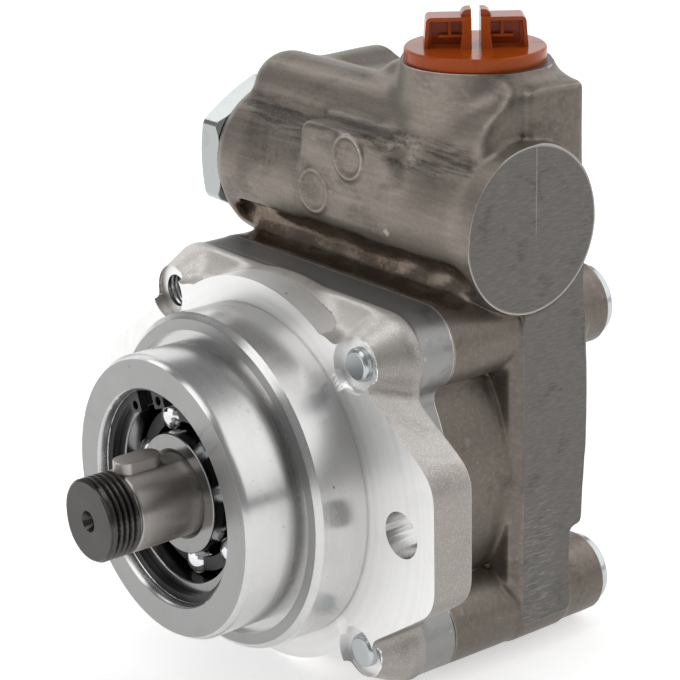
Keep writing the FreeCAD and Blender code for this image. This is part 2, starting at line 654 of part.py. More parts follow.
def housing_outside():
    """The outer form of the housing casting, one simple solid for each feature."""
    across = s["block_half_width"]
    up = s["block_half_height"]
    neck = cylinder("neck", "Y", s["neck_radius"], (0, joint_y, 0), s["neck_depth"] + s["block_chamfer"])
    profile = extruded("block_profile", "X", [
        (block_front_y, -up),
        (block_rear_y - s["lower_recess"], -up),
        (block_rear_y - s["lower_recess"], -s["lower_recess_top"]),
        (block_rear_y - s["recess_slope"], -s["lower_recess_top"] + s["recess_slope"]),
        (block_rear_y, up / 8),
        (block_rear_y, up),
        (block_front_y, up),
    ], (-across, 0, 0), across * 2)
    plate = extruded(
        "block_plate", "Y", rectangle(-across, -up, across, up),
        (0, block_front_y, 0), s["block_depth"], s["block_corner_radius"])
    doc.recompute()
    rounding = plate.Tip
    bevel = plate.newObject("PartDesign::Chamfer", "block_front_bevel")
    bevel.Base = (rounding, edge_names(rounding.Shape, lambda edge: edge.BoundBox.YMax < 1e-3))
    bind(bevel, Size=s["block_chamfer"])
    block = common("rear_block", profile, plate)
    lugs = lugged_plate(
        "neck_lugs", s["housing_boss_radius"], joint_y, s["neck_depth"] + s["block_chamfer"])
    boss_start_y = block_front_y + s["block_depth"] / 2
    bosses = [
        cylinder("housing_boss_" + corner, "Y", s["housing_boss_radius"],
                 (x, boss_start_y, z), boss_rear_y - boss_start_y)
        for corner, (x, z) in BOLT_PLACES.items()
    ]
    valve = cylinder(
        "valve_cylinder", "X", s["valve_radius"], (-s["sleeve_end"], s["valve_y"], s["valve_up"]),
        s["sleeve_end"] + s["valve_end"])
    sleeve = turned("valve_sleeve", "X", [
        (-s["valve_plug_end"], 0),
        (-s["valve_plug_end"], s["sleeve_radius"] - s["sleeve_taper_height"]),
        (-s["valve_plug_end"] + s["sleeve_taper_length"], s["sleeve_radius"]),
        (-s["sleeve_end"], s["sleeve_radius"]),
        (-s["sleeve_end"] + s["sleeve_step_length"], s["valve_radius"] - s["ring_mark_rise"]),
        (-s["sleeve_end"] + s["sleeve_step_length"], 0),
    ], (0, s["valve_y"], s["valve_up"]))
    ridge_start = -s["ridge_left_end"] + s["ridge_radius"]
    ridge = cylinder(
        "ridge", "X", s["ridge_radius"], (ridge_start, s["ridge_y"], s["ridge_up"]),
        s["valve_end"] - ridge_start)
    ridge_end = sphere("ridge_end", s["ridge_radius"], (ridge_start, s["ridge_y"], s["ridge_up"]),
                       FreeCAD.Rotation(VECTOR(0, 1, 0), POLE_ANGLE))
    wall = extruded(
        "rear_wall", "Z",
        rectangle(-s["web_half_width"], s["top_front_y"], s["top_right"], s["top_rear_y"]),
        (0, 0, s["web_low"]), s["top_low_up"] - s["web_low"], s["top_corner_radius"])
    wall_top = extruded(
        "rear_wall_top", "Z",
        rectangle(-s["top_left"], s["top_front_y"], s["top_right"], s["top_rear_y"]),
        (0, 0, s["valve_up"]), s["top_up"] - s["valve_up"], s["top_corner_radius"])
    web = extruded(
        "neck_web", "Z",
        rectangle(-s["web_half_width"], s["web_front_y"], s["web_half_width"], s["top_rear_y"]),
        (0, 0, s["web_low"]), s["web_high"] - s["web_low"], s["pad_round"])
    pad = extruded(
        "front_pad", "Y",
        rectangle(-s["pad_left"], s["pad_bottom"], s["pad_right"], s["pad_top"]),
        (0, s["pad_y"], 0), s["valve_y"] - s["pad_y"], s["pad_round"])
    rings = []
    for name, x, z in (("upper", s["upper_ring_across"], s["upper_ring_up"]),
                       ("lower", -s["lower_ring_across"], s["lower_ring_up"])):
        outer = cylinder(name + "_ring_outside", "Y", s["ring_mark_radius"],
                         (x, s["pad_y"] - s["ring_mark_rise"], z), s["ring_mark_rise"] * 2)
        inner = cylinder(name + "_ring_inside", "Y", s["ring_mark_radius"] - s["ring_mark_width"],
                         (x, s["pad_y"] - s["ring_mark_rise"], z), s["ring_mark_rise"] * 2)
        rings.append(cut(name + "_ring_mark", outer, [inner]))
    suction = turned("suction_boss", "Z", [
        (0, s["valve_up"]),
        (s["suction_radius"], s["valve_up"]),
        (s["suction_radius"], s["suction_up"] - s["suction_edge"]),
        (s["suction_radius"] - s["suction_edge"], s["suction_up"]),
        (0, s["suction_up"]),
    ], (s["suction_across"], s["suction_y"], 0))
    outlet = turned("outlet_boss", "Y", [
        (0, s["ridge_y"]),
        (s["outlet_radius"], s["ridge_y"]),
        (s["outlet_radius"], s["outlet_y"] - s["suction_edge"]),
        (s["outlet_radius"] - s["suction_edge"], s["outlet_y"]),
        (0, s["outlet_y"]),
    ], (-s["outlet_across"], 0, s["outlet_up"]))
    solids = [neck, lugs, block, valve, sleeve, ridge, ridge_end, wall, wall_top, web, pad, suction, outlet]
    return solids + bosses + rings


def housing_hollows():
    """Everything bored, drilled or turned out of the housing."""
    groove_half = s["joint_ring_radius"] + s["fit_clearance"] * 3
    passage_y = s["outlet_y"] - s["outlet_bore_depth"] / 2
    hollows = [
        cylinder("chamber", "Y", s["cavity_radius"], (0, joint_y - s["fit_clearance"], 0),
                 cavity_end_y - joint_y + s["fit_clearance"]),
        cylinder("bush_bore", "Y", s["journal_radius"] + s["bush_wall"],
                 (0, cavity_end_y - s["fit_clearance"], 0), s["bush_length"] + s["fit_clearance"] * 2),
        turned("joint_ring_groove", "Y", rectangle(
            s["ring_groove_radius"] - groove_half, joint_y - s["fit_clearance"],
            s["ring_groove_radius"] + groove_half, joint_y + s["joint_ring_radius"] * 2)),
        cylinder("valve_bore", "X", s["spool_radius"],
                 (-s["valve_plug_end"] - s["fit_clearance"], s["valve_y"], s["valve_up"]),
                 s["valve_plug_end"] + s["valve_bore_end"] + s["fit_clearance"]),
        cylinder("plug_tapping", "X", s["plug_thread_radius"] + s["thread_clearance"],
                 (-s["valve_plug_end"] - s["fit_clearance"], s["valve_y"], s["valve_up"]),
                 s["plug_thread_length"] + s["fit_clearance"] * 8),
        cylinder("plug_ring_seat", "X",
                 s["plug_thread_radius"] + s["thread_clearance"] * 2 + s["plug_ring_radius"] * 2,
                 (-s["valve_plug_end"] - s["fit_clearance"], s["valve_y"], s["valve_up"]),
                 s["plug_ring_radius"] * 2 - s["plug_gap"] + s["fit_clearance"] * 2),
        cylinder("suction_bore", "Z", s["suction_bore_radius"],
                 (s["suction_across"], s["suction_y"], s["suction_up"] - s["suction_bore_depth"]),
                 s["suction_bore_depth"] + s["fit_clearance"]),
        cylinder("suction_spot_face", "Z", s["suction_radius"],
                 (s["suction_across"], s["suction_y"], s["suction_up"]),
                 s["cap_thickness"] + s["grip_height"]),
        cylinder("suction_passage", "Z", s["suction_passage_radius"],
                 (s["suction_across"], s["valve_y"], s["cavity_radius"] / 2),
                 s["suction_up"] - s["cavity_radius"] / 2),
        cylinder("outlet_bore", "Y", s["outlet_bore_radius"],
                 (-s["outlet_across"], s["outlet_y"] - s["outlet_bore_depth"], s["outlet_up"]),
                 s["outlet_bore_depth"] + s["fit_clearance"]),
        cylinder("outlet_passage", "Z", s["outlet_passage_radius"],
                 (-s["outlet_across"], passage_y, s["outlet_up"] - s["outlet_bore_radius"] * 2),
                 s["outlet_bore_radius"] * 2),
        cylinder("outlet_cross_passage", "Y", s["outlet_passage_radius"],
                 (-s["outlet_across"], s["valve_y"], s["outlet_up"] - s["outlet_bore_radius"] * 2),
                 passage_y - s["valve_y"]),
    ]
    for corner, (x, z) in BOLT_PLACES.items():
        hollows.append(cylinder(
            "housing_bolt_hole_" + corner, "Y", bolt_hole_radius,
            (x, joint_y - s["fit_clearance"], z), boss_rear_y - joint_y + s["fit_clearance"] * 2))
    return hollows


def pump_housing():
    """The housing casting with its bores."""
    blank = fuse("housing_blank", housing_outside())
    return node(cut("pump_housing", blank, housing_hollows()), "pump_housing")


def spline_teeth(name, height, width, front_y, rear_y):
    """Straight teeth round the shaft where the rotor sits."""
    teeth = []
    for index in range(SPLINES):
        teeth.append(box(
            "%s_%d" % (name, index + 1), (s["rotor_seat_radius"] / 2, front_y, -width / 2),
            (s["rotor_seat_radius"] + height, rear_y, width / 2), 360.0 * index / SPLINES, "Y"))
    return teeth


def drive_shaft():
    """Threaded end, keyed drive seat, bearing seat, collar, splines and rear journal."""
    end_y = -s["shaft_end_y"]
    thread_end_y = end_y + s["thread_length"]
    drive_y = thread_end_y + s["relief_width"]
    snap_y = cam_rear_y + s["snap_ring_thickness"] * 2
    journal_end_y = snap_y + s["journal_length"]
    radius = s["shaft_radius"]
    stock = turned("shaft_stock", "Y", [
        (0, end_y + s["centre_hole_depth"]),
        (s["centre_hole_radius"] / 2, end_y + s["centre_hole_radius"]),
        (s["centre_hole_radius"], end_y),
        (radius - s["shaft_chamfer"], end_y),
        (radius, end_y + s["shaft_chamfer"]),
        (radius, thread_end_y),
        (radius - s["relief_depth"], thread_end_y + s["relief_width"] / 4),
        (radius - s["relief_depth"], drive_y - s["relief_width"] / 4),
        (radius, drive_y),
        (radius, bearing_rear_y),
        (s["collar_radius"], bearing_rear_y),
        (s["collar_radius"], collar_rear_y),
        (radius, collar_rear_y),
        (radius, cam_front_y - s["fit_clearance"]),
        (s["rotor_seat_radius"], cam_front_y - s["fit_clearance"]),
        (s["rotor_seat_radius"], cam_rear_y - s["rotor_side_clearance"]),
        (s["rotor_seat_radius"] - s["snap_ring_depth"], cam_rear_y - s["rotor_side_clearance"]),
        (s["rotor_seat_radius"] - s["snap_ring_depth"], cam_rear_y + s["snap_ring_thickness"]),
        (s["journal_radius"], cam_rear_y + s["snap_ring_thickness"]),
        (s["journal_radius"], journal_end_y - s["shaft_chamfer"]),
        (s["journal_radius"] - s["shaft_chamfer"], journal_end_y),
        (0, journal_end_y),
    ])
    teeth = spline_teeth(
        "shaft_tooth", s["spline_height"], s["spline_width"],
        cam_front_y - s["fit_clearance"], cam_rear_y - s["rotor_side_clearance"])
    key_seat = keyed_bar("key_seat", s["key_gap"])
    return node(cut("drive_shaft", fuse("shaft_blank", [stock] + teeth), [key_seat]), "drive_shaft")


def keyed_bar(name, gap):
    """A bar with round ends on the drive seat, as the key or, with a gap, as its seat."""
    half = s["key_width"] / 2
    front_y = -s["shaft_end_y"] + s["thread_length"]
    rear_y = front_y + s["key_length"]
    low = s["shaft_radius"] + s["key_stand_out"] - s["key_height"] - gap
    height = s["key_height"] + gap * 2
    bar = box(name + "_bar", (-half - gap, front_y + half, low), (half + gap, rear_y - half, low + height))
    front = cylinder(name + "_front", "Z", half + gap, (0, front_y + half, low), height)
    rear = cylinder(name + "_rear", "Z", half + gap, (0, rear_y - half, low), height)
    return fuse(name, [bar, front, rear])


def shaft_key():
    """The parallel key with both ends round."""
    return node(keyed_bar("shaft_key", as_size(0)), "shaft_key")


def bearing_ring(name, inner, outer, edge_inside, edge_outside):
    """One ring of the ball bearing with its ball track."""
    front_y = bearing_front_y
    rear_y = bearing_rear_y
    blank = turned(name + "_blank", "Y", [
        (inner + edge_inside, front_y),
        (outer - edge_outside, front_y),
        (outer, front_y + edge_outside),
        (outer, rear_y - edge_outside),
        (outer - edge_outside, rear_y),
        (inner + edge_inside, rear_y),
        (inner, rear_y - edge_inside),
        (inner, front_y + edge_inside),
    ])
    track = torus(name + "_track", "Y", s["ball_pitch_radius"], s["ball_radius"] + s["ball_clearance"] / 2,
                  (0, ball_y, 0))
    return node(cut(name, blank, [track]), name)


def bearing_rings():
    """Inner and outer ring."""
    bore = s["shaft_radius"] + s["key_gap"]
    small_edge = s["bearing_edge"] / 4
    bearing_ring("bearing_inner_ring", bore, s["bearing_inner_shoulder"], s["bearing_edge"], small_edge)
    bearing_ring("bearing_outer_ring", s["bearing_outer_shoulder"],
                 s["bearing_radius"] - s["key_gap"], small_edge, s["bearing_edge"])


def ball_centre(index):
    """Centre of one ball on its pitch circle."""
    angle = math.radians(90 + 180.0 / BALLS + 360.0 * index / BALLS)
    radius = s["ball_pitch_radius"]
    return (radius * math.cos(angle), ball_y, radius * math.sin(angle))


def bearing_balls():
    """The balls, each a piece of its own."""
    for index in range(BALLS):
        name = "bearing_ball_%d" % (index + 1)
        node(sphere(name, s["ball_radius"], ball_centre(index)), name)


def bearing_cage():
    """A crown cage: a ring with a pocket for each ball."""
    ring = turned("cage_ring", "Y", rectangle(
        s["cage_inner_radius"], ball_y - s["cage_front"], s["cage_outer_radius"], ball_y + s["cage_rear"]))
    pockets = []
    for index in range(BALLS):
        x, y, z = ball_centre(index)
        pocket = doc.addObject("Part::Cylinder", "cage_pocket_%d" % (index + 1))
        bind(pocket, Radius=s["ball_radius"] + s["ball_clearance"], Height=s["ball_pitch_radius"])
        outwards = FreeCAD.Rotation(VECTOR(0, 0, 1), VECTOR(x.value, 0, z.value))
        place(pocket, (x / 2, y, z / 2), outwards)
        pockets.append(pocket)
    return node(cut("bearing_cage", ring, pockets), "bearing_cage")


def bearing_circlip():
    """An internal circlip with two eyed lugs, its gap up and a little to the left."""
    outer = s["bearing_radius"] + s["clip_bite"]
    inner = outer - s["clip_width"]
    band = turned("clip_band", "Y", rectangle(inner, clip_front_y, outer, clip_rear_y))
    turn = 90.0 - CLIP_GAP_ANGLE
    half_gap = s["clip_gap_width"] / 2
    gap = box("clip_gap", (-half_gap, clip_front_y - s["clip_thickness"], s["clip_eye_radius"]),
              (half_gap, clip_rear_y + s["clip_thickness"], outer * 2), turn, "Y")
    lugs = []
    eyes = []
    eye_up = inner - s["clip_lug_length"] / 2
    for side, direction in (("right", 1), ("left", -1)):
        low = half_gap if direction > 0 else -half_gap - s["clip_lug_width"]
        lugs.append(box("clip_lug_" + side, (low, clip_front_y, inner - s["clip_lug_length"]),
                        (low + s["clip_lug_width"], clip_rear_y, inner + s["clip_width"] / 2), turn, "Y"))
        across = (half_gap + s["clip_lug_width"] / 2) * direction
        cosine = math.cos(math.radians(turn))
        sine = math.sin(math.radians(turn))
        eyes.append(cylinder(
            "clip_eye_" + side, "Y", s["clip_eye_radius"],
            (across * cosine + eye_up * sine, clip_front_y - s["clip_thickness"],
             eye_up * cosine - across * sine), s["clip_thickness"] * 3))
    ring = fuse("clip_ring", [cut("clip_open_band", band, [gap])] + lugs)
    return node(cut("bearing_circlip", ring, eyes), "bearing_circlip")


def shaft_seal():
    """Rubber shaft seal in its case, with its lip on the shaft."""
    inner = s["shaft_radius"] + s["running_clearance"]
    case = s["seal_case"]
    seal = turned("shaft_seal", "Y", [
        (s["seal_radius"] - s["fit_clearance"], seal_front_y),
        (s["seal_radius"] - s["fit_clearance"], seal_rear_y),
        (s["seal_radius"] - case, seal_rear_y),
        (s["seal_radius"] - case, seal_front_y + case),
        (inner + case, seal_front_y + case),
        (inner + case, seal_front_y + s["seal_lip_height"]),
        (inner, seal_front_y + s["seal_lip_height"] - case / 2),
        (inner + case / 2, seal_front_y),
    ])
    node(seal, "shaft_seal")
    garter_ring = inner + case + s["garter_radius"]
    garter = torus("seal_garter_spring", "Y", garter_ring, s["garter_radius"],
                   (0, seal_front_y + case + s["garter_radius"] * 2, 0))
    return node(garter, "seal_garter_spring")


def housing_o_ring():
    """O-ring in the joint between cover and housing."""
    ring = torus("housing_o_ring", "Y", s["ring_groove_radius"], s["joint_ring_radius"],
                 (0, joint_y + s["joint_ring_radius"], 0))
    return node(ring, "housing_o_ring")


def plate_holes(name, front_y, thickness):
    """Dowel holes and oil ports through a plate."""
    holes = []
    for side, direction in (("top", 1), ("bottom", -1)):
        holes.append(cylinder(
            "%s_dowel_%s" % (name, side), "Y", s["dowel_radius"] + s["running_clearance"],
            (0, front_y - thickness, s["dowel_offset"] * direction), thickness * 3))
    for index in range(4):
        angle = math.radians(45 + 90 * index)
        holes.append(cylinder(
            "%s_port_%d" % (name, index + 1), "Y", s["port_radius"],
            (s["port_offset"] * math.cos(angle), front_y - thickness, s["port_offset"] * math.sin(angle)),
            thickness * 3))
    return holes


def plates_and_cam():
    """Side plate, cam ring and pressure plate, stacked in the chamber."""
    radius = s["cavity_radius"] - s["works_clearance"]
    hole = s["shaft_radius"] + s["works_clearance"] * 3
    side = turned("side_plate_disc", "Y", rectangle(hole, joint_y, radius, cam_front_y))
    holes = plate_holes("side_plate", joint_y, s["side_plate_thickness"])
    node(cut("side_plate", side, holes), "side_plate")

    cam = cylinder("cam_disc", "Y", radius, (0, cam_front_y, 0), s["cam_width"])
    oval = doc.addObject("Part::Ellipse", "cam_oval")
    bind(oval, MajorRadius=s["cam_major"], MinorRadius=s["cam_minor"])
    place(oval, (0, cam_front_y - s["cam_width"], 0), TURN["Y"])
    bore = doc.addObject("Part::Extrusion", "cam_bore")
    bore.Base = oval
    bore.DirMode = "Custom"
    bore.Dir = VECTOR(0, 1, 0)
    bore.Solid = True
    bind(bore, LengthFwd=s["cam_width"] * 3)
    holes = plate_holes("cam_ring", cam_front_y, s["cam_width"])[:2]
    node(cut("cam_ring", cam, [bore] + holes), "cam_ring")

    groove_root = s["cavity_radius"] - s["plate_ring_radius"] * 2 - s["fit_clearance"]
    middle_y = cam_rear_y + s["pressure_plate_thickness"] / 2
    groove_half = s["plate_ring_radius"] + s["fit_clearance"] * 2
    plate = turned("pressure_plate_disc", "Y", [
        (s["plate_hole_radius"], cam_rear_y),
        (radius, cam_rear_y),
        (radius, middle_y - groove_half),
        (groove_root, middle_y - groove_half),
        (groove_root, middle_y + groove_half),
        (radius, middle_y + groove_half),
        (radius, plate_rear_y),
        (s["plate_hole_radius"], plate_rear_y),
    ])
    holes = plate_holes("pressure_plate", cam_rear_y, s["pressure_plate_thickness"])
    node(cut("pressure_plate", plate, holes), "pressure_plate")
    ring = torus("pressure_plate_o_ring", "Y",
                 s["cavity_radius"] - s["plate_ring_radius"] - s["fit_clearance"] / 2,
                 s["plate_ring_radius"] - s["fit_clearance"] / 4, (0, middle_y, 0))
    node(ring, "pressure_plate_o_ring")


def pressure_plate_spring():
    """A disc spring between the pressure plate and the end of the chamber."""
    thickness = s["disc_spring_thickness"]
    spring = turned("pressure_plate_spring", "Y", [
        (s["disc_spring_inner"], cavity_end_y - thickness),
        (s["disc_spring_outer"], plate_rear_y),
        (s["disc_spring_outer"], plate_rear_y + thickness),
        (s["disc_spring_inner"], cavity_end_y),
    ])
    return node(spring, "pressure_plate_spring")


def dowel_pins():
    """Two pins that line up the plates and the cam ring with the cover."""
    for side, direction in (("top", 1), ("bottom", -1)):
        front_y = joint_y - s["dowel_seat"]
        pin = cylinder("dowel_pin_" + side, "Y", s["dowel_radius"],
                       (0, front_y, s["dowel_offset"] * direction), plate_rear_y - front_y)
        node(pin, "dowel_pin_" + side)


def rotor():
    """Slotted rotor on the shaft's splines."""
    front_y = cam_front_y + s["rotor_side_clearance"]
    rear_y = cam_rear_y - s["rotor_side_clearance"]
    blank = cylinder("rotor_blank", "Y", s["rotor_radius"], (0, front_y, 0), rear_y - front_y)
    over = s["fit_clearance"]
    bore = cylinder("rotor_bore", "Y", s["rotor_seat_radius"] + s["running_clearance"],
                    (0, front_y - over, 0), rear_y - front_y + over * 2)
    teeth = spline_teeth("rotor_tooth_room", s["spline_height"] + s["running_clearance"],
                         s["spline_width"] + s["running_clearance"] * 2, front_y - over, rear_y + over)
    slots = []
    half = s["vane_thickness"] / 2 + s["vane_clearance"]
    slot_bottom = s["rotor_radius"] + s["vane_stand_out"] - s["vane_height"] - s["vane_slot_room"]
    for index in range(VANES):
        slots.append(box("rotor_slot_%d" % (index + 1), (slot_bottom, front_y - over, -half),
                         (s["rotor_radius"] * 2, rear_y + over, half), 360.0 * index / VANES, "Y"))
    return node(cut("rotor", blank, [bore] + teeth + slots), "rotor")


def vanes():
    """Vanes with round tips, at their innermost reach."""
    half = s["vane_thickness"] / 2
    tip = s["rotor_radius"] + s["vane_stand_out"]
    front_y = cam_front_y + s["rotor_side_clearance"]
    rear_y = cam_rear_y - s["rotor_side_clearance"]
    for index in range(VANES):
        name = "vane_%d" % (index + 1)
        angle = 360.0 * index / VANES
        flat = box(name + "_flat", (tip - s["vane_height"], front_y, -half), (tip - half, rear_y, half),
                   angle, "Y")
        crown_radius = tip - half
        crown = cylinder(name + "_crown", "Y", half,
                         (crown_radius * math.cos(math.radians(angle)), front_y,
                          -(crown_radius * math.sin(math.radians(angle)))), rear_y - front_y)
        node(fuse(name, [flat, crown]), name)


def rotor_snap_ring():
    """Snap ring that keeps the rotor on its splines."""
    inner = s["rotor_seat_radius"] - s["snap_ring_depth"] + s["fit_clearance"]
    thickness = s["snap_ring_thickness"] - s["fit_clearance"] * 2
    front_y = cam_rear_y + s["fit_clearance"]
    outer = inner + s["snap_ring_width"] / 1.2
    band = turned("snap_band", "Y", rectangle(inner, front_y, outer, front_y + thickness))
    half = s["snap_ring_width"]
    gap = box("snap_gap", (-half, front_y - thickness, 0), (half, front_y + thickness * 2, inner * 2))
    return node(cut("rotor_snap_ring", band, [gap]), "rotor_snap_ring")


def rear_bush():
    """Plain bush for the rear journal."""
    bush = turned("rear_bush", "Y", rectangle(
        s["journal_radius"] + s["running_clearance"], cavity_end_y,
        s["journal_radius"] + s["bush_wall"] - s["key_gap"], bush_rear_y))
    return node(bush, "rear_bush")


def housing_bolts():
    """Four bolts from the back, the upper left one shorter, with low round socketed heads."""
    for corner, (across, up) in BOLT_PLACES.items():
        name = "housing_bolt_" + corner
        radius = s["bolt_radius"]
        chamfer = s["bolt_tip_chamfer"]
        tip_y = s["bolt_tip_y"] + (s["short_bolt_cut"] if corner == "upper_left" else 0)
        head_y = boss_rear_y + s["bolt_head_height"]
        blank = turned(name + "_blank", "Y", [
            (0, tip_y),
            (radius - chamfer, tip_y),
            (radius, tip_y + chamfer),
            (radius, boss_rear_y),
            (s["bolt_head_radius"], boss_rear_y),
            (s["bolt_head_radius"], head_y - s["bolt_head_round"]),
            (s["bolt_head_radius"] - s["bolt_head_round"], head_y),
            (0, head_y),
        ], (across, 0, up))
        socket = prism(name + "_socket", "Y", s["bolt_socket_width"],
                       (across, head_y - s["bolt_socket_depth"], up), s["bolt_socket_depth"] * 2)
        node(cut(name, blank, [socket]), name)


def flow_control_spool():
    """Spool with two lands, a stop nose and a pocket for its spring."""
    radius = s["spool_radius"] - s["running_clearance"]
    end = s["valve_bore_end"]
    shoulder = end - s["spool_nose_length"]
    land_end = shoulder - s["spool_land"]
    groove_end = land_end - s["spool_groove"]
    tail = end - s["spool_length"]
    waist = radius - s["spool_groove_depth"]
    spool = turned("flow_control_spool", "X", [
        (end, 0),
        (end, s["spool_nose_radius"]),
        (shoulder, s["spool_nose_radius"]),
        (shoulder, radius),
        (land_end, radius),
        (land_end, waist),
        (groove_end, waist),
        (groove_end, radius),
        (tail, radius),
        (tail, s["spool_pocket_radius"]),
        (tail + s["spool_pocket_depth"], s["spool_pocket_radius"]),
        (tail + s["spool_pocket_depth"], 0),
    ], (0, s["valve_y"], s["valve_up"]))
    return node(spool, "flow_control_spool")


def valve_spring():
    """Coil spring between the plug and the spool."""
    wire = s["spring_wire_radius"]
    plug_floor = -s["valve_plug_end"] + s["plug_thread_length"] - s["plug_pocket_depth"]
    spool_floor = s["valve_bore_end"] - s["spool_length"] + s["spool_pocket_depth"]
    start = plug_floor + wire + s["fit_clearance"]
    end = spool_floor - wire - s["fit_clearance"]
    line = doc.addObject("Part::Helix", "spring_line")
    bind(line, Radius=s["spring_radius"], Height=end - start, Pitch=(end - start) / s["spring_coils"])
    place(line, (start, s["valve_y"], s["valve_up"]), TURN["X"])
    section = doc.addObject("Part::Circle", "spring_section")
    bind(section, Radius=wire)
    across = FreeCAD.Rotation(VECTOR(1, 0, 0), 90)
    place(section, (start, s["valve_y"], s["valve_up"] - s["spring_radius"]), TURN["X"].multiply(across))
    coil = doc.addObject("Part::Sweep", "valve_spring")
    coil.Sections = [section]
    coil.Spine = (line, [])
    coil.Solid = True
    coil.Frenet = True
    return node(coil, "valve_spring")


def valve_plug():
    """Hexagon plug that closes the valve bore, with its O-ring under the head."""
    head_end = -s["valve_plug_end"] - s["plug_gap"]
    outer = head_end - s["plug_head_length"]
    inner_end = -s["valve_plug_end"] + s["plug_thread_length"]
    pocket = s["spool_pocket_radius"]
    thread = turned("plug_thread", "X", [
        (outer + s["plug_head_length"] / 2, 0),
        (outer + s["plug_head_length"] / 2, s["plug_thread_radius"]),
        (inner_end - s["shaft_chamfer"], s["plug_thread_radius"]),
        (inner_end, s["plug_thread_radius"] - s["shaft_chamfer"]),
        (inner_end, pocket),
        (inner_end - s["plug_pocket_depth"], pocket),
        (inner_end - s["plug_pocket_depth"], 0),
    ], (0, s["valve_y"], s["valve_up"]))
    hexagon = prism("plug_hexagon", "X", s["plug_flats"], (outer, s["valve_y"], s["valve_up"]),
                    s["plug_head_length"], PLUG_TURN)
    corner = s["plug_corner_radius"]
    bevel = corner - s["plug_flats"] / 2
    envelope = turned("plug_envelope", "X", [
        (outer, 0),
        (outer, corner - bevel),
        (outer + bevel / 2, corner),
        (head_end - bevel / 2, corner),
        (head_end, corner - bevel / 2),
        (head_end, 0),
    ], (0, s["valve_y"], s["valve_up"]))
    head = common("plug_head", hexagon, envelope)
    node(fuse("valve_plug", [thread, head]), "valve_plug")
    ring = torus("valve_plug_o_ring", "X",
                 s["plug_thread_radius"] + s["thread_clearance"] + s["plug_ring_radius"],
                 s["plug_ring_radius"], (head_end + s["plug_ring_radius"], s["valve_y"], s["valve_up"]))
    return node(ring, "valve_plug_o_ring")


def suction_port_plug():
    """Plastic plug: hollow stem, round flange and a split grip with pockets."""
    x = s["suction_across"]
    y = s["suction_y"]
    seat = s["suction_up"]
    top = seat + s["cap_thickness"]
    stem = s["suction_bore_radius"] - s["cap_stem_clearance"]
    inner = stem - s["cap_stem_wall"]
    disc = turned("cap_disc", "Z", [
        (0, seat),
        (inner, seat),
        (inner, seat - s["cap_stem_length"]),
        (stem, seat - s["cap_stem_length"]),
        (stem, seat),
        (s["cap_radius"], seat),
        (s["cap_radius"], top - s["cap_edge"]),
        (s["cap_radius"] - s["cap_edge"], top),
        (0, top),
    ], (x, y, 0))
    pieces = [disc]
    pockets = []
    half_slot = s["grip_slot"] / 2
    half_depth = s["grip_half_depth"]
    wall = s["grip_wall"]
    sunk = top - s["cap_edge"]
    crest = top + s["grip_height"]
    grip_turn = FreeCAD.Rotation(VECTOR(0, 0, 1), GRIP_ANGLE)
    across = grip_turn.multVec(VECTOR(1, 0, 0))
    inner_wall = half_slot + s["grip_post_width"]
    for side, direction in (("right", 1), ("left", -1)):
        block = extruded("grip_block_" + side, "Y", [
            (half_slot * direction, sunk),
            (s["grip_half_width"] * direction, sunk),
            ((s["grip_half_width"] - s["grip_draft"]) * direction, crest),
            (half_slot * direction, crest),
        ], (x + half_depth * across.y, y - half_depth * across.x, 0), half_depth * 2,
            rotation=grip_turn)
        doc.recompute()
        round_edges(block, s["grip_corner"], lambda edge: upright(edge, "Y")
                    and edge.CenterOfMass.z > top.value and abs(edge.CenterOfMass.x) > inner_wall.value)
        pieces.append(block)
        near, far = sorted([half_slot * direction, inner_wall * direction], key=lambda size: size.value)
        pieces.append(box("grip_post_" + side, (near, -half_depth + wall, sunk),
                          (far, half_depth - wall, top + s["grip_post_height"] - s["grip_post_width"] / 2),
                          GRIP_ANGLE, "Z", (x, y, 0)))
        outer_wall = s["grip_half_width"] - wall - s["grip_draft"]
        near, far = sorted([inner_wall * direction, outer_wall * direction], key=lambda size: size.value)
        for face, low_y in (("front", -half_depth - wall), ("rear", half_depth - s["grip_pocket"])):
            pockets.append(box("grip_pocket_%s_%s" % (face, side), (near, low_y, top + wall / 2),
                               (far, low_y + s["grip_pocket"] + wall, crest - wall),
                               GRIP_ANGLE, "Z", (x, y, 0)))
    return node(cut("suction_port_plug", fuse("cap_blank", pieces), pockets), "suction_port_plug")


def outlet_port_plug():
    """Plastic plug in the pressure port, with a flat grip."""
    x = -s["outlet_across"]
    z = s["outlet_up"]
    face = s["outlet_y"]
    top = face + s["outlet_cap_thickness"]
    stem = s["outlet_bore_radius"] - s["cap_stem_clearance"]
    disc = turned("outlet_cap_disc", "Y", [
        (0, face - s["outlet_bore_depth"] / 2),
        (stem, face - s["outlet_bore_depth"] / 2),
        (stem, face),
        (s["outlet_cap_radius"], face),
        (s["outlet_cap_radius"], top - s["cap_edge"]),
        (s["outlet_cap_radius"] - s["cap_edge"], top),
        (0, top),
    ], (x, 0, z))
    half = s["outlet_grip_width"] / 2
    thin = s["outlet_grip_thickness"] / 2
    grip = box("outlet_grip", (-half, top - s["cap_edge"], -thin),
               (half, top + s["outlet_grip_height"], thin), 0.0, "Y", (x, 0, z))
    return node(fuse("outlet_port_plug", [disc, grip]), "outlet_port_plug")


front_cover()
pump_housing()
drive_shaft()
shaft_key()
bearing_rings()
bearing_balls()
bearing_cage()
bearing_circlip()
shaft_seal()
housing_o_ring()
plates_and_cam()
pressure_plate_spring()
dowel_pins()
rotor()
vanes()
rotor_snap_ring()
rear_bush()
housing_bolts()
flow_control_spool()
valve_spring()
valve_plug()
suction_port_plug()
outlet_port_plug()
doc.recompute()

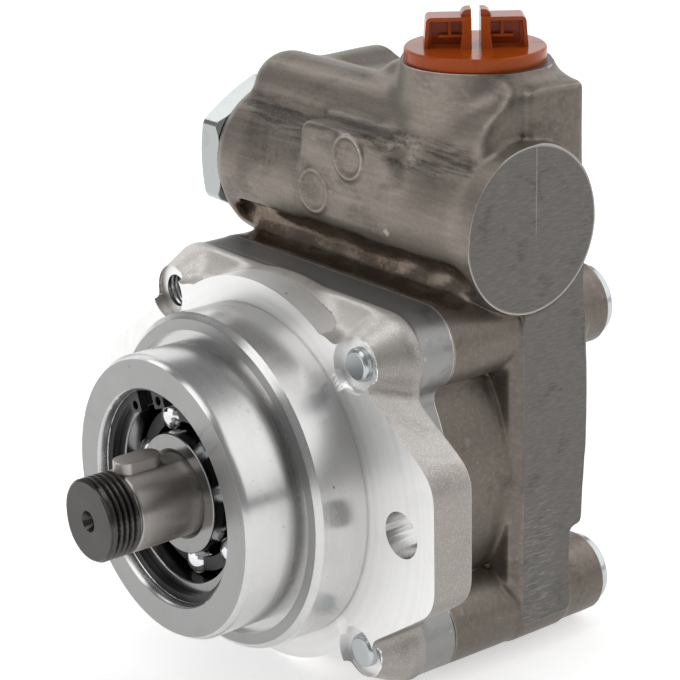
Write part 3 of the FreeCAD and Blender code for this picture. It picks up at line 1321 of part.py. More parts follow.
failed = [item.Name for item in doc.Objects if "Invalid" in item.State or "Error" in item.State]
if failed:
    raise RuntimeError("objects that failed: %s" % ", ".join(failed))
for item in nodes:
    if item.Shape.isNull() or not item.Shape.isValid() or not item.Shape.Solids:
        raise RuntimeError("no sound solid: %s" % item.Label)

os.makedirs("parts", exist_ok=True)
for item in nodes:
    item.Shape.exportStep(os.path.join("parts", item.Label + ".step"))
    print("%-28s solids %d volume %10.1f" % (item.Label, len(item.Shape.Solids), item.Shape.Volume))
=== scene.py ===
"""Looks of a vane-type power steering pump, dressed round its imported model.

The shaft runs along Y with its threaded end towards -Y, and +Z points to the suction port.
Lengths are in millimetres here and turned into metres where a mesh is made.
"""
import json
import math

import bmesh
import bpy
import numpy as np
import openvdb
from mathutils import Matrix, Vector


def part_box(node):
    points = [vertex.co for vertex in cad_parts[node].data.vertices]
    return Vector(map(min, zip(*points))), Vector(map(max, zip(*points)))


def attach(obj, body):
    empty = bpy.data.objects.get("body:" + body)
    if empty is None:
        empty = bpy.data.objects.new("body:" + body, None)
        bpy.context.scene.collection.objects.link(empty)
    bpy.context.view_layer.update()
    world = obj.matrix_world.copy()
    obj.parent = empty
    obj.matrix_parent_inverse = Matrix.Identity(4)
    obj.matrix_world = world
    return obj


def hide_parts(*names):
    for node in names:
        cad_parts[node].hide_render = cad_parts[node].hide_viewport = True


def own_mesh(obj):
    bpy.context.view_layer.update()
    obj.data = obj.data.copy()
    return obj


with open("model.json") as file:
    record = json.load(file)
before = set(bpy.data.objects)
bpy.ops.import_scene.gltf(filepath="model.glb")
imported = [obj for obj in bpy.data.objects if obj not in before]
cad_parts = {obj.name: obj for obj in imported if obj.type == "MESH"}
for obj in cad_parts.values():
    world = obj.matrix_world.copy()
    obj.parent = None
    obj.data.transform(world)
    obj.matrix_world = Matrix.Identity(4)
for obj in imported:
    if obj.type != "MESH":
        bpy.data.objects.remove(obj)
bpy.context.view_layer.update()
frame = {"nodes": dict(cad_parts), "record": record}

MM = 0.001


def span(node):
    """Lowest and highest corner of a CAD node, in millimetres."""
    low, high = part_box(node)
    return low / MM, high / MM


def middle(node):
    """Centre of a CAD node's box, in millimetres."""
    low, high = span(node)
    return (low + high) / 2


# Places that the model gives
HOUSING_LOW, HOUSING_HIGH = span("pump_housing")
COVER_LOW, COVER_HIGH = span("front_cover")
JOINT_Y = HOUSING_LOW.y
JOINT_HIGH_Y = COVER_HIGH.y
VALVE = middle("flow_control_spool")
SUCTION = middle("suction_port_plug")
OUTLET = middle("outlet_port_plug")
OUTLET_FACE = 67.0
OUTLET_FACE_LOW = 60.0
OUTLET_FACE_SIDE = -15.0
BOLTS = [middle("housing_bolt_" + corner)
         for corner in ("upper_right", "lower_right", "lower_left", "upper_left")]
FLOOR_Z = min(COVER_LOW.z, HOUSING_LOW.z)

# Flange, pilot, nose and bearing bore of the cover
FLANGE_DISC_RADIUS = 47.5
MACHINED_DEPTH = 7.0
PILOT_RADIUS = 41.275
PILOT_LENGTH = 14.0
PILOT_CHAMFER = 1.4
NOSE_RADIUS = 34.6
NOSE_LENGTH = 29.0
BORE_REACH = 29.0
BEARING_RADIUS = 26.0
MOUTH_CHAMFER = 0.7
MOUTH_DEPTH = 2.4
NOTCH_RADIUS = 6.4
NOTCH_DEPTH = 3.0
# Across the axis, then along it
NOSE_CHAMFER = (1.0, 1.6)
STEP_GROOVE = (2.6, 1.5)
ROOT_LINE = (0.25, -0.5)

# The cover's holes, cast skin and parting line
MOUNT_HOLE_ACROSS = 53.2
MOUNT_HOLE_REACH = 7.0
COVER_CORE_RADIUS = 44.0
COVER_ROUND = 2.5
COVER_SOFTNESS = 0.8
COVER_FIELD_REACH = 6.0
RIM_BAND = (0.9, 0.1)
PARTING_Y = 12.0
PARTING_STEP = 0.35
PARTING_RUN = 0.8
TAPPING_REACH = 5.5
TAPPING_CORE_RADIUS = 6.0
TAPPING_MOUTH = 4.8
MOUNT_HOLE_MOUTH = 5.7
CAST_MOUTH = 4.9
# Size, seed and height of the skin's faint waves
COVER_WAVE = (12.0, 5, 0.05)

# Housing: bosses, block, ridge and milled faces
VALVE_RADIUS = 20.0
SUCTION_RADIUS = 17.8
OUTLET_RADIUS = 12.5
REAR_BOSS_RADIUS = 10.2
BLOCK_SIDE = 47.0
BLOCK_EDGE_Y = 43.3
BLOCK_REAR_Y = 64.0
RECESS_REAR_Y = 58.6
RECESS_TOP = -18.0
RIDGE_END = 43.3
RIDGE_RIM = 3.0
WALL_SIDE = 45.4
WALL_RIM = 0.8
MILL_STEP_Y = 45.7
MILL_STEP_DEPTH = 0.12

# Cores and blanks that fill the housing while its skin is rounded, and its bores' reach
CHAMBER_CORE_RADIUS = 41.5
CHAMBER_CORE_SHORT = 1.5
BUSH_CORE_RADIUS = 14.0
BUSH_CORE_SHORT = 2.2
VALVE_CORE_RADIUS = 17.0
VALVE_CORE_END = 44.0
SUCTION_CORE_RADIUS = 15.0
SUCTION_CORE_FOOT = 70.0
OUTLET_CORE_RADIUS = 10.5
OUTLET_CORE_FOOT = 50.0
BOLT_CORE_RADIUS = 7.0
BOLT_HOLE_REACH = 6.0
BLANK_SIDE = 40.0
BLANK_TOP = 52.0
BLANK_FOOT = -38.0
PLUG_END_RADIUS = 18.0
SUCTION_BLANK_FOOT = 84.0
REAR_BLANK_START = 52.0
BOLT_CORE_END = 60.0
FIELD_REACH = 7.0

# Cast roundings and marks
HOUSING_ROUND = 3.0
BOSS_ROUND = 6.0
BOSS_ROUND_UP = (79.0, 85.0)
BOSS_ROUND_ACROSS = (-12.0, -4.0)
ROUNDED_ABOVE = (46.5, 49.5)
SKIN_SOFTNESS = 0.9
BLOCK_SOFTNESS = 0.45
PAD_Y = 24.6
PAD_SOFTNESS = 2.6
PAD_FADE = 6.0
RING_PLACES = ((6.0, 74.0), (-7.4, 63.3))
RING_RADIUS = 5.1
RING_BEAD = 0.75
RING_RIM = 0.5
# Low and high corner of the shoulder that melts into the pad
PAD_SHOULDER = ((8.0, 20.0, 62.0), (36.0, 44.0, 92.0))
# Size, seed and height of the skin's faint waves
HOUSING_WAVES = ((14.0, 3, 0.08), (5.0, 4, 0.03))

# Oily channel under the valve cylinder, its film partly painted shade, and the valley above it, darkened
# with painted shade
CHANNEL_START = (-39.0, 27.6, 49.6)
CHANNEL_END = (40.5, 27.6, 49.6)
CHANNEL_RADIUS = 4.6
CHANNEL_RIM = 2.0
CHANNEL_LUMP = 6.5
CHANNEL_LUMP_HEIGHT = 0.45
VALLEY_Y = 29.5
VALLEY_Z = 78.0
VALLEY_REACH = 6.0
VALLEY_START = -46.0
VALLEY_END = 38.0

# Threads
SHAFT_RADIUS = 10.0
THREAD_LENGTH = 8.0
THREAD_PITCH = 1.5
TAPPED_RADIUS = 4.04
TAPPED_PITCH = 1.25
THREAD_STEPS = 48
THREAD_HALF = 0.42
# How far the groove's base and tip lie from the radius
THREAD_CUT = (0.35, -0.95)
TAPPED_CUT = (-0.3, 0.6)

# Grip of the suction port's plastic plug, measured from the middle of its slot
GRIP_ANGLE = 51.8
GRIP_SLOT_HALF = 1.1
GRIP_HALF_DEPTH = 3.8
GRIP_UP = 7.2
GRIP_POST_UP = 8.8
GRIP_POST_ROUND = 1.7
GRIP_EDGE = 0.22
POCKET_DEPTH = 1.7
POCKET_START = 3.3
POCKET_END_LOW = 11.3
POCKET_END_HIGH = 10.8
POCKET_SILL = 0.08
POCKET_LINTEL = 0.9
GUSSET_FOOT = 2.7
GUSSET_CROWN = 1.7
GUSSET_PROUD = 1.5
SHELF_ACROSS = (3.0, 8.8)
SHELF_UP = (2.2, 3.0)
SHELF_SET_BACK = 0.8
UPRIGHT_ACROSS = (5.7, 6.5)
UPRIGHT_FOOT = 2.5
UPRIGHT_SET_BACK = 1.0
RIB_ROOT = 0.4

# How finely the castings are worked out, and how far tools reach past a face
VOXEL = 0.6
COVER_VOXEL = VOXEL * 0.85
SPARE = 6.0
FAR = 90.0
TOUCH = 0.02
WITHIN_PILOT = 40.0

# Stage: floor and lamps are in metres, degrees and watts
FLOOR_HALF_SIZE = 12.0
FLOOR_GLOW = 0.48
WORLD_STRENGTH = 0.28
# Name, azimuth, elevation, distance, size and power
LAMPS = (
    ("key_lamp", 148, 35, 1.4, (2.2, 1.5), 12.0),
    ("back_lamp", -128, 17, 1.8, (2.6, 1.0), 7.6),
    ("fill_lamp", -20, 6, 1.6, (1.4, 1.2), 5.2),
    ("top_lamp", -8, 66, 1.5, (0.9, 1.6), 6.6),
    ("side_lamp", -90, 42, 1.5, (0.55, 0.55), 1.7),
)
CAMERA_AZIMUTH = 51.79
CAMERA_ELEVATION = 19.13
CAMERA_ROLL = -1.2
CAMERA_DISTANCE = 564.5
CAMERA_RIGHT = 19.44
CAMERA_UP = 30.87
FOCAL_PIXELS = 2339.0
PHOTO_PIXELS = 680
SENSOR_WIDTH = 36.0


# Meshes


def piece(name, mesh):
    """A new object that holds a mesh."""
    item = bpy.data.objects.new(name, mesh)
    bpy.context.scene.collection.objects.link(item)
    return item


def discard(item):
    """Remove a tool that has done its work."""
    mesh = item.data
    bpy.data.objects.remove(item)
    bpy.data.meshes.remove(mesh)


def solid_from(name, points, faces):
    """A solid from points in millimetres, with its faces turned outwards."""
    mesh = bpy.data.meshes.new(name)
    mesh.from_pydata((np.asarray(points) * MM).tolist(), [], [tuple(face) for face in faces])
    work = bmesh.new()
    work.from_mesh(mesh)
    bmesh.ops.recalc_face_normals(work, faces=work.faces)
    work.to_mesh(mesh)
    work.free()
    return piece(name, mesh)


def piece_of(work, name):
    """A new object from worked faces, which are used up."""
    mesh = bpy.data.meshes.new(name)
    work.to_mesh(mesh)
    work.free()
    return piece(name, mesh)


def welded(node, name):
    """A copy of a CAD node's mesh whose split corners are joined again."""
    work = bmesh.new()
    work.from_mesh(frame["nodes"][node].data)
    bmesh.ops.remove_doubles(work, verts=work.verts, dist=1e-7)
    bmesh.ops.dissolve_degenerate(work, edges=work.edges, dist=1e-8)
    return piece_of(work, name)


def bar(name, axis, centre, radius, start, end, sides=96):
    """A round bar along an axis, from start to end."""
    work = bmesh.new()
    bmesh.ops.create_cone(work, cap_ends=True, segments=sides, radius1=radius * MM,
                          radius2=radius * MM, depth=abs(end - start) * MM)
    turn = {
        "X": Matrix.Rotation(math.pi / 2, 4, "Y"),
        "Y": Matrix.Rotation(math.pi / 2, 4, "X"),
        "Z": Matrix.Identity(4),
    }[axis]
    place = Vector(centre)
    place["XYZ".index(axis)] = (start + end) / 2
    bmesh.ops.transform(work, matrix=Matrix.Translation(place * MM) @ turn, verts=work.verts)
    return piece_of(work, name)


def rod(name, radius, start, end, centre=(0, 0, 0), sides=96):
    """A round bar that lies along the shaft."""
    return bar(name, "Y", centre, radius, start, end, sides)


def lathed(name, profile, sides=288):
    """A solid turned about the Y axis from (radius, y) points, listed from axis to axis."""
    points = []
    faces = []
    count = len(profile)
    for step in range(sides):
        angle = 2 * math.pi * step / sides
        for radius, y in profile:
            points.append((radius * math.cos(angle), y, radius * math.sin(angle)))
        following = (step + 1) % sides
        for row in range(count - 1):
            near = step * count + row
            far = following * count + row
            faces.append((near, near + 1, far + 1, far))
    faces.append([step * count for step in range(sides)])
    faces.append([step * count + count - 1 for step in range(sides)])
    return solid_from(name, points, faces)


def block(name, low, high):
    """A box between two corners."""
    work = bmesh.new()
    bmesh.ops.create_cube(work, size=1.0)
    low = Vector(low)
    high = Vector(high)
    size = Matrix.Diagonal((*((high - low) * MM), 1.0))
    bmesh.ops.transform(work, matrix=Matrix.Translation((low + high) / 2 * MM) @ size, verts=work.verts)
    return piece_of(work, name)


def settle(item):
    """Put an object's modifiers into its mesh."""
    bpy.context.view_layer.update()
    graph = bpy.context.evaluated_depsgraph_get()
    shaped = bpy.data.meshes.new_from_object(item.evaluated_get(graph))
    old = item.data
    item.modifiers.clear()
    item.data = shaped
    bpy.data.meshes.remove(old)
    return item


def combine(item, tool, operation, solver):
    """Join a tool to an object, or take it away, and discard the tool."""
    change = item.modifiers.new(operation.lower(), "BOOLEAN")
    change.operation = operation
    change.solver = solver
    change.object = tool
    settle(item)
    discard(tool)
    return item


def cut(item, tool, solver="MANIFOLD"):
    """Take a tool away from an object."""
    return combine(item, tool, "DIFFERENCE", solver)


def join(item, tool, solver="MANIFOLD"):
    """Join a tool to an object."""
    return combine(item, tool, "UNION", solver)


def cut_hollows(item, node, regions):
    """Open the space that a CAD node leaves empty inside each region."""
    for region in regions:
        cut(item, cut(region, welded(node, region.name + "_solid"), "EXACT"))


# Castings: a distance field is rounded the way molten metal fills its mould


def points_of(item):
    """Points in millimetres and triangles of an object's mesh."""
    mesh = item.data
    mesh.calc_loop_triangles()
    points = np.empty(len(mesh.vertices) * 3, np.float32)
    mesh.vertices.foreach_get("co", points)
    triangles = np.empty(len(mesh.loop_triangles) * 3, np.int32)
    mesh.loop_triangles.foreach_get("vertices", triangles)
    return points.reshape(-1, 3) / MM, triangles.reshape(-1, 3)


class Field:
    """Distances to a surface on a grid: below zero inside, above zero outside."""

    def __init__(self, solids, voxel, reach):
        points = []
        triangles = []
        count = 0
        for solid in solids:
            own_points, own_triangles = points_of(solid)
            points.append(own_points)
            triangles.append(own_triangles + count)
            count += len(own_points)
        self.voxel = voxel
        self.reach = reach
        self.read(np.concatenate(points), triangles=np.concatenate(triangles))

    def read(self, points, **faces):
        """Measure the distances to a closed surface of triangles or quads."""
        grid = openvdb.FloatGrid.createLevelSetFromPolygons(
            points, transform=openvdb.createLinearTransform(self.voxel),
            halfWidth=self.reach / self.voxel, **faces)
        low, high = grid.evalActiveVoxelBoundingBox()
        margin = 2
        self.start = np.array(low) - margin
        size = np.array(high) - self.start + margin + 1
        self.values = np.full(size, grid.background, np.float32)
        grid.copyToArray(self.values, ijk=tuple(int(index) for index in self.start))

    def places(self):
        """Coordinates of the grid's points along X, Y and Z."""
        grids = np.ogrid[tuple(slice(0, size) for size in self.values.shape)]
        return [(grid + start) * self.voxel for grid, start in zip(grids, self.start)]

    def surface(self, level=0.0):
        """Points and quads of the surface at a distance."""
        grid = openvdb.FloatGrid(float(self.reach))
        grid.copyFromArray(self.values, ijk=tuple(int(index) for index in self.start))
        grid.transform = openvdb.createLinearTransform(self.voxel)
        return grid.convertToQuads(isovalue=float(level))

    def closed(self, radius):
        """Fill inner corners that a ball of this radius can't reach."""
        points, quads = self.surface(radius)
        other = Field.__new__(Field)
        other.voxel = self.voxel
        other.reach = self.reach + radius
        other.read(points, quads=quads)
        other.values += radius
        return other

    def sample_like(self, other):
        """This field's values on another field's grid."""
        result = np.full(other.values.shape, self.reach, np.float32)
        low = np.maximum(self.start, other.start)
        high = np.minimum(self.start + self.values.shape, other.start + other.values.shape)
        mine = tuple(slice(a - b, c - b) for a, b, c in zip(low, self.start, high))
        theirs = tuple(slice(a - b, c - b) for a, b, c in zip(low, other.start, high))
        result[theirs] = self.values[mine]
        return result


def blurred(values, sigma):
    """Gaussian blur of a grid; sigma counts its cells."""
    reach = max(1, int(math.ceil(sigma * 2.5)))
    weights = np.exp(-0.5 * (np.arange(-reach, reach + 1) / sigma) ** 2)
    weights /= weights.sum()
    for axis in range(3):
        pad = [(0, 0)] * 3
        pad[axis] = (reach, reach)
        padded = np.pad(values, pad, mode="edge")
        total = np.zeros_like(values)
        for step, weight in enumerate(weights):
            window = [slice(None)] * 3
            window[axis] = slice(step, step + values.shape[axis])
            total += np.float32(weight) * padded[tuple(window)]
        values = total
    return values


def ramped(value, low, high):
    """0 below low, 1 above high and a smooth change between."""
    share = np.clip((value - low) / (high - low), 0, 1)
    return share * share * (3 - 2 * share)


def lattice_noise(shape, cell, seed):
    """Smooth random values about zero, with a seeded pattern."""
    source = np.random.default_rng(seed)
    coarse = [int(size / cell) + 3 for size in shape]
    values = source.normal(0, 1, coarse).astype(np.float32)
    for axis, size in enumerate(shape):
        place = np.arange(size) / cell
        index = place.astype(int)
        share = (place - index).astype(np.float32)
        share = share * share * (3 - 2 * share)
        form = [1, 1, 1]
        form[axis] = size
        share = share.reshape(form)
        values = np.take(values, index, axis) * (1 - share) + np.take(values, index + 1, axis) * share
    return values


def channel_distance(places, start, end, radius):
    """Distance to a round-ended bar between two points."""
    start = np.array(start)
    line = np.array(end) - start
    offset = [place - begin for place, begin in zip(places, start)]
    along = sum(part * step for part, step in zip(offset, line)) / float(line @ line)
    along = np.clip(along, 0, 1)
    parts = [part - along * step for part, step in zip(offset, line)]
    return np.sqrt(sum(part * part for part in parts)) - radius


def smooth_carve(values, tool, softness):
    """Take a bar out of a field and round the rim."""
    share = np.clip(0.5 - 0.5 * (values + tool) / softness, 0, 1)
    return values * (1 - share) - tool * share + softness * share * (1 - share)


def housing_skin():
    """Outside of the rear casting, every bore still filled."""
    solid = welded("pump_housing", "housing_solid")
    for vertex in solid.data.vertices:
        if vertex.co.y < (JOINT_Y + 0.01) * MM:
            vertex.co.y -= SPARE * MM
    outside = JOINT_Y - SPARE
    sideways = BLOCK_SIDE + SPARE
    fillers = [
        rod("fill_chamber", CHAMBER_CORE_RADIUS, outside, RECESS_REAR_Y - CHAMBER_CORE_SHORT),
        rod("fill_bush", BUSH_CORE_RADIUS, outside, BLOCK_REAR_Y - BUSH_CORE_SHORT),
        bar("fill_valve", "X", VALVE, VALVE_CORE_RADIUS, HOUSING_LOW.x - SPARE, HOUSING_HIGH.x),
        bar("fill_valve_end", "X", VALVE, VALVE_RADIUS, BLANK_SIDE, HOUSING_HIGH.x + SPARE),
        bar("fill_plug_end", "X", VALVE, PLUG_END_RADIUS, HOUSING_LOW.x - SPARE, -BLANK_SIDE),
        bar("fill_suction", "Z", SUCTION, SUCTION_RADIUS, SUCTION_BLANK_FOOT, HOUSING_HIGH.z + SPARE),
        rod("fill_outlet", OUTLET_RADIUS, REAR_BLANK_START, OUTLET_FACE + SPARE, OUTLET),
        block("fill_side", (BLANK_SIDE, BLOCK_EDGE_Y, RECESS_TOP + 2),
              (sideways, BLOCK_REAR_Y - BUSH_CORE_SHORT, BLANK_TOP)),
        block("fill_low_side", (BLANK_SIDE, BLOCK_EDGE_Y, BLANK_FOOT), (sideways, RECESS_REAR_Y - 0.6, 0)),
    ]
    for index, bolt in enumerate(BOLTS):
        fillers.append(rod("fill_bolt_%d" % index, REAR_BOSS_RADIUS, REAR_BLANK_START,
                           HOUSING_HIGH.y + SPARE, bolt))
        fillers.append(rod("fill_bolt_hole_%d" % index, BOLT_CORE_RADIUS, outside, BOLT_CORE_END, bolt))
    field = Field([solid] + fillers, VOXEL, FIELD_REACH)
    for item in [solid] + fillers:
        discard(item)
    x, y, z = field.places()
    filled = field.closed(HOUSING_ROUND).sample_like(field)
    around_boss = ramped(z, *BOSS_ROUND_UP) * ramped(x, *BOSS_ROUND_ACROSS)
    filled += around_boss * (field.closed(BOSS_ROUND).sample_like(field) - filled)
    upper = ramped(z, *ROUNDED_ABOVE)
    values = field.values * (1 - upper) + filled * upper
    crease = channel_distance((x, y, z), CHANNEL_START, CHANNEL_END, CHANNEL_RADIUS)
    crease = crease + lattice_noise(values.shape, CHANNEL_LUMP / VOXEL, 9) * CHANNEL_LUMP_HEIGHT
    values = smooth_carve(values, crease, CHANNEL_RIM)
    off_valve = np.hypot(y - VALVE.y, z - VALVE.z) - VALVE_RADIUS - 0.3
    above = np.maximum(-off_valve, VALVE.z - z)
    beyond_ridge = np.maximum(np.maximum(RIDGE_END - x, above), y - MILL_STEP_Y)
    values = smooth_carve(values, beyond_ridge, RIDGE_RIM)
    values = smooth_carve(values, np.maximum(WALL_SIDE - x, above), WALL_RIM)
    shoulder = tuple(
        slice(int(np.abs(place.ravel() - low).argmin()), int(np.abs(place.ravel() - high).argmin()))
        for place, low, high in zip((x, y, z), *PAD_SHOULDER))
    shares = []
    for place, part, low, high in zip((x, y, z), shoulder, *PAD_SHOULDER):
        along = place.ravel()[part]
        shares.append(ramped(along, low, low + PAD_FADE) * ramped(along, high, high - PAD_FADE))
    share = shares[0][:, None, None] * shares[1][None, :, None] * shares[2][None, None, :]
    values[shoulder] += share * (blurred(values[shoulder], PAD_SOFTNESS / VOXEL) - values[shoulder])
    soft = blurred(values, SKIN_SOFTNESS / VOXEL)
    crisp = blurred(values, BLOCK_SOFTNESS / VOXEL)
    values = crisp * (1 - upper) + soft * upper
    for size, seed, height in HOUSING_WAVES:
        values += lattice_noise(values.shape, size / VOXEL, seed) * height
    for across, up in RING_PLACES:
        bead = np.hypot(np.hypot(x - across, z - up) - RING_RADIUS, y - PAD_Y) - RING_BEAD
        values = -smooth_carve(-values, bead, RING_RIM)
    field.values = values.astype(np.float32)
    points, quads = field.surface()
    return solid_from("cast_pump_housing", points, quads)


def pump_housing():
    """Rear casting with its machined faces and bores."""
    skin = housing_skin()
    low = HOUSING_LOW
    high = HOUSING_HIGH
    corner = (-FAR, -FAR, -FAR)
    slabs = [
        block("mill_right", (high.x, -FAR, -FAR), (FAR, FAR * 2, FAR * 2)),
        block("mill_left", corner, (low.x, FAR * 2, FAR * 2)),
        block("mill_joint", corner, (FAR, low.y, FAR * 2)),
        block("mill_rear", (-FAR, high.y, -FAR), (FAR, FAR * 2, FAR * 2)),
        block("mill_suction", (-FAR, -FAR, high.z), (FAR, FAR * 2, FAR * 2)),
        block("mill_outlet", (-FAR, OUTLET_FACE, OUTLET_FACE_LOW), (OUTLET_FACE_SIDE, FAR, FAR * 2)),
        block("mill_step", (high.x - MILL_STEP_DEPTH, MILL_STEP_Y, 30), (FAR, FAR, FAR * 2)),
    ]
    for slab in slabs:
        cut(skin, slab)
    side = block("mill_side", (BLOCK_SIDE, -FAR, -FAR), (FAR, FAR, VALVE.z))
    cut(side, bar("mill_side_end", "X", VALVE, VALVE_RADIUS - 0.02, 30, FAR + SPARE * 1.5, 192))
    cut(skin, side)
    chamber_end = RECESS_REAR_Y - CHAMBER_CORE_SHORT - 0.1
    bush_end = BLOCK_REAR_Y - BUSH_CORE_SHORT - 0.2
    regions = [
        rod("bore_chamber", CHAMBER_CORE_RADIUS, JOINT_Y - 1, chamber_end),
        rod("bore_bush", BUSH_CORE_RADIUS, RECESS_REAR_Y - 3, bush_end),
        bar("bore_valve", "X", VALVE, VALVE_CORE_RADIUS, low.x - 1, VALVE_CORE_END),
        bar("bore_suction", "Z", SUCTION, SUCTION_CORE_RADIUS, SUCTION_CORE_FOOT, high.z + 1),
        rod("bore_outlet", OUTLET_CORE_RADIUS, OUTLET_CORE_FOOT, OUTLET_FACE + 1, OUTLET),
    ]
    for index, bolt in enumerate(BOLTS):
        regions.append(rod("bore_bolt_%d" % index, BOLT_HOLE_REACH, JOINT_Y - 1, high.y + 1, bolt))
    cut_hollows(skin, "pump_housing", regions)
    return skin


def helical_groove(name, centre, radius, reach, pitch, start, end):
    """A V-shaped ridge wound round an axis along Y: taking it away leaves a thread.

    Its base and its tip lie at the two reaches from the radius.
    """
    base_radius = radius + reach[0]
    tip_radius = radius + reach[1]
    half_width = pitch * THREAD_HALF
    steps = int(abs(end - start) / pitch * THREAD_STEPS)
    points = []
    for step in range(steps + 1):
        angle = 2 * math.pi * step / THREAD_STEPS
        along = start + (end - start) * step / steps
        run_out = min(1.0, 0.1 + step * 3 / THREAD_STEPS, 0.1 + (steps - step) * 3 / THREAD_STEPS)
        tip = base_radius + (tip_radius - base_radius) * run_out
        for away, shift in ((base_radius, -half_width), (tip, 0.0), (base_radius, half_width)):
            points.append((centre[0] + away * math.cos(angle), along + shift,
                           centre[2] + away * math.sin(angle)))
    faces = [(0, 1, 2), (3 * steps, 3 * steps + 2, 3 * steps + 1)]
    for step in range(steps):
        for corner in range(3):
            near = 3 * step + corner
            other = 3 * step + (corner + 1) % 3
            faces.append((near, other, other + 3, near + 3))
    return solid_from(name, points, faces)


def cover_skin():
    """Cast outside of the front cover, its bores filled and its flange face still proud."""
    solid = welded("front_cover", "cover_solid")
    for vertex in solid.data.vertices:
        x, y, z = vertex.co / MM
        if y > JOINT_HIGH_Y - 0.01:
            vertex.co.y += SPARE * MM
        if abs(y) < 0.01 and math.hypot(x, z) > PILOT_RADIUS - 0.01:
            vertex.co.y -= SPARE * MM
    inner, outer = RIM_BAND
    rim = rod("rim", FLANGE_DISC_RADIUS + outer, -SPARE - 1, MACHINED_DEPTH, sides=240)
    cut(rim, rod("rim_core", FLANGE_DISC_RADIUS - inner, -SPARE - 2, MACHINED_DEPTH + 1, sides=240))
    cut(solid, rim, "EXACT")
    behind = JOINT_HIGH_Y + SPARE
    fillers = [rod("fill_core", COVER_CORE_RADIUS, -SPARE, behind)]
    for index, bolt in enumerate(BOLTS):
        fillers.append(rod("fill_notch_%d" % index, NOTCH_RADIUS - 0.2, -SPARE, NOTCH_DEPTH + 2, bolt))
        fillers.append(rod("fill_tapping_%d" % index, TAPPING_CORE_RADIUS, NOTCH_DEPTH + 1, behind, bolt))
    for side in (-1, 1):
        fillers.append(rod("fill_mount_%d" % side, MOUNT_HOLE_REACH, -SPARE, PARTING_Y,
                           (side * MOUNT_HOLE_ACROSS, 0, 0)))
    field = Field([solid] + fillers, COVER_VOXEL, COVER_FIELD_REACH)
    for item in [solid] + fillers:
        discard(item)
    y = field.places()[1]
    filled = field.closed(COVER_ROUND).sample_like(field)
    values = blurred(filled, COVER_SOFTNESS / field.voxel)
    size, seed, height = COVER_WAVE
    values += lattice_noise(values.shape, size / field.voxel, seed) * height
    values += PARTING_STEP * ramped(y, PARTING_Y, PARTING_Y + PARTING_RUN)
    field.values = values.astype(np.float32)
    points, quads = field.surface()
    return solid_from("cast_front_cover", points, quads)


def turned_front():
    """Nose, pilot and flange disc as they leave the lathe, still solid."""
    return lathed("turned_front", [
        (1.0, -NOSE_LENGTH),
        (NOSE_RADIUS - NOSE_CHAMFER[0], -NOSE_LENGTH),
        (NOSE_RADIUS, NOSE_CHAMFER[1] - NOSE_LENGTH),
        (NOSE_RADIUS, STEP_GROOVE[1] - PILOT_LENGTH),
        (NOSE_RADIUS + STEP_GROOVE[0], STEP_GROOVE[1] - PILOT_LENGTH),
        (NOSE_RADIUS + STEP_GROOVE[0], -PILOT_LENGTH),
        (PILOT_RADIUS - PILOT_CHAMFER, -PILOT_LENGTH),
        (PILOT_RADIUS, PILOT_CHAMFER - PILOT_LENGTH),
        (PILOT_RADIUS, ROOT_LINE[1]),
        (PILOT_RADIUS - ROOT_LINE[0], ROOT_LINE[1]),
        (PILOT_RADIUS - ROOT_LINE[0], 0.0),
        (FLANGE_DISC_RADIUS, 0.0),
        (FLANGE_DISC_RADIUS, MACHINED_DEPTH),
        (1.0, MACHINED_DEPTH),
    ])


def front_cover():
    """Front casting: cast bosses and ears, turned nose, pilot and flange face."""
    skin = cover_skin()
    cut(skin, block("face_flange", (-FAR, -FAR, -FAR), (FAR, 0, FAR)))
    cut(skin, block("face_joint", (-FAR, JOINT_HIGH_Y, -FAR), (FAR, FAR, FAR)))
    cut(skin, rod("face_core", FLANGE_DISC_RADIUS - 2.5, -1, MACHINED_DEPTH - 2, sides=240))
    join(skin, turned_front())
    bore = BEARING_RADIUS + 0.03
    cut(skin, lathed("bore_mouth", [
        (1.0, -NOSE_LENGTH - 1),
        (bore + MOUTH_CHAMFER + 1, -NOSE_LENGTH - 1),
        (bore, MOUTH_CHAMFER - NOSE_LENGTH),
        (bore, MOUTH_DEPTH - NOSE_LENGTH),
        (1.0, MOUTH_DEPTH - NOSE_LENGTH),
    ]))
    regions = [rod("bore_centre", BORE_REACH, 1.5 - NOSE_LENGTH, JOINT_HIGH_Y + 1)]
    for index, bolt in enumerate(BOLTS):
        regions.append(rod("bore_tapping_%d" % index, TAPPING_REACH, NOTCH_DEPTH, JOINT_HIGH_Y + 1, bolt))
    for side in (-1, 1):
        regions.append(rod("bore_mount_%d" % side, MOUNT_HOLE_REACH, -1, PARTING_Y + 1,
                           (side * MOUNT_HOLE_ACROSS, 0, 0)))
    cut_hollows(skin, "front_cover", regions)
    for index, bolt in enumerate(BOLTS):
        cut(skin, rod("notch_%d" % index, NOTCH_RADIUS + 0.1, -1, NOTCH_DEPTH + 0.02, bolt))
    cut(skin, helical_groove("open_hole_thread", BOLTS[3], TAPPED_RADIUS, TAPPED_CUT, TAPPED_PITCH,
                             NOTCH_DEPTH + 0.6, JOINT_HIGH_Y - 4))
    return skin


# Turned and bought pieces


def break_edges(item, width):
    """Round an object's sharp edges a little."""
    bevel = item.modifiers.new("broken_edges", "BEVEL")
    bevel.width = width * MM
    bevel.segments = 2
    bevel.limit_method = "ANGLE"
    bevel.angle_limit = math.radians(35)
    settle(item)


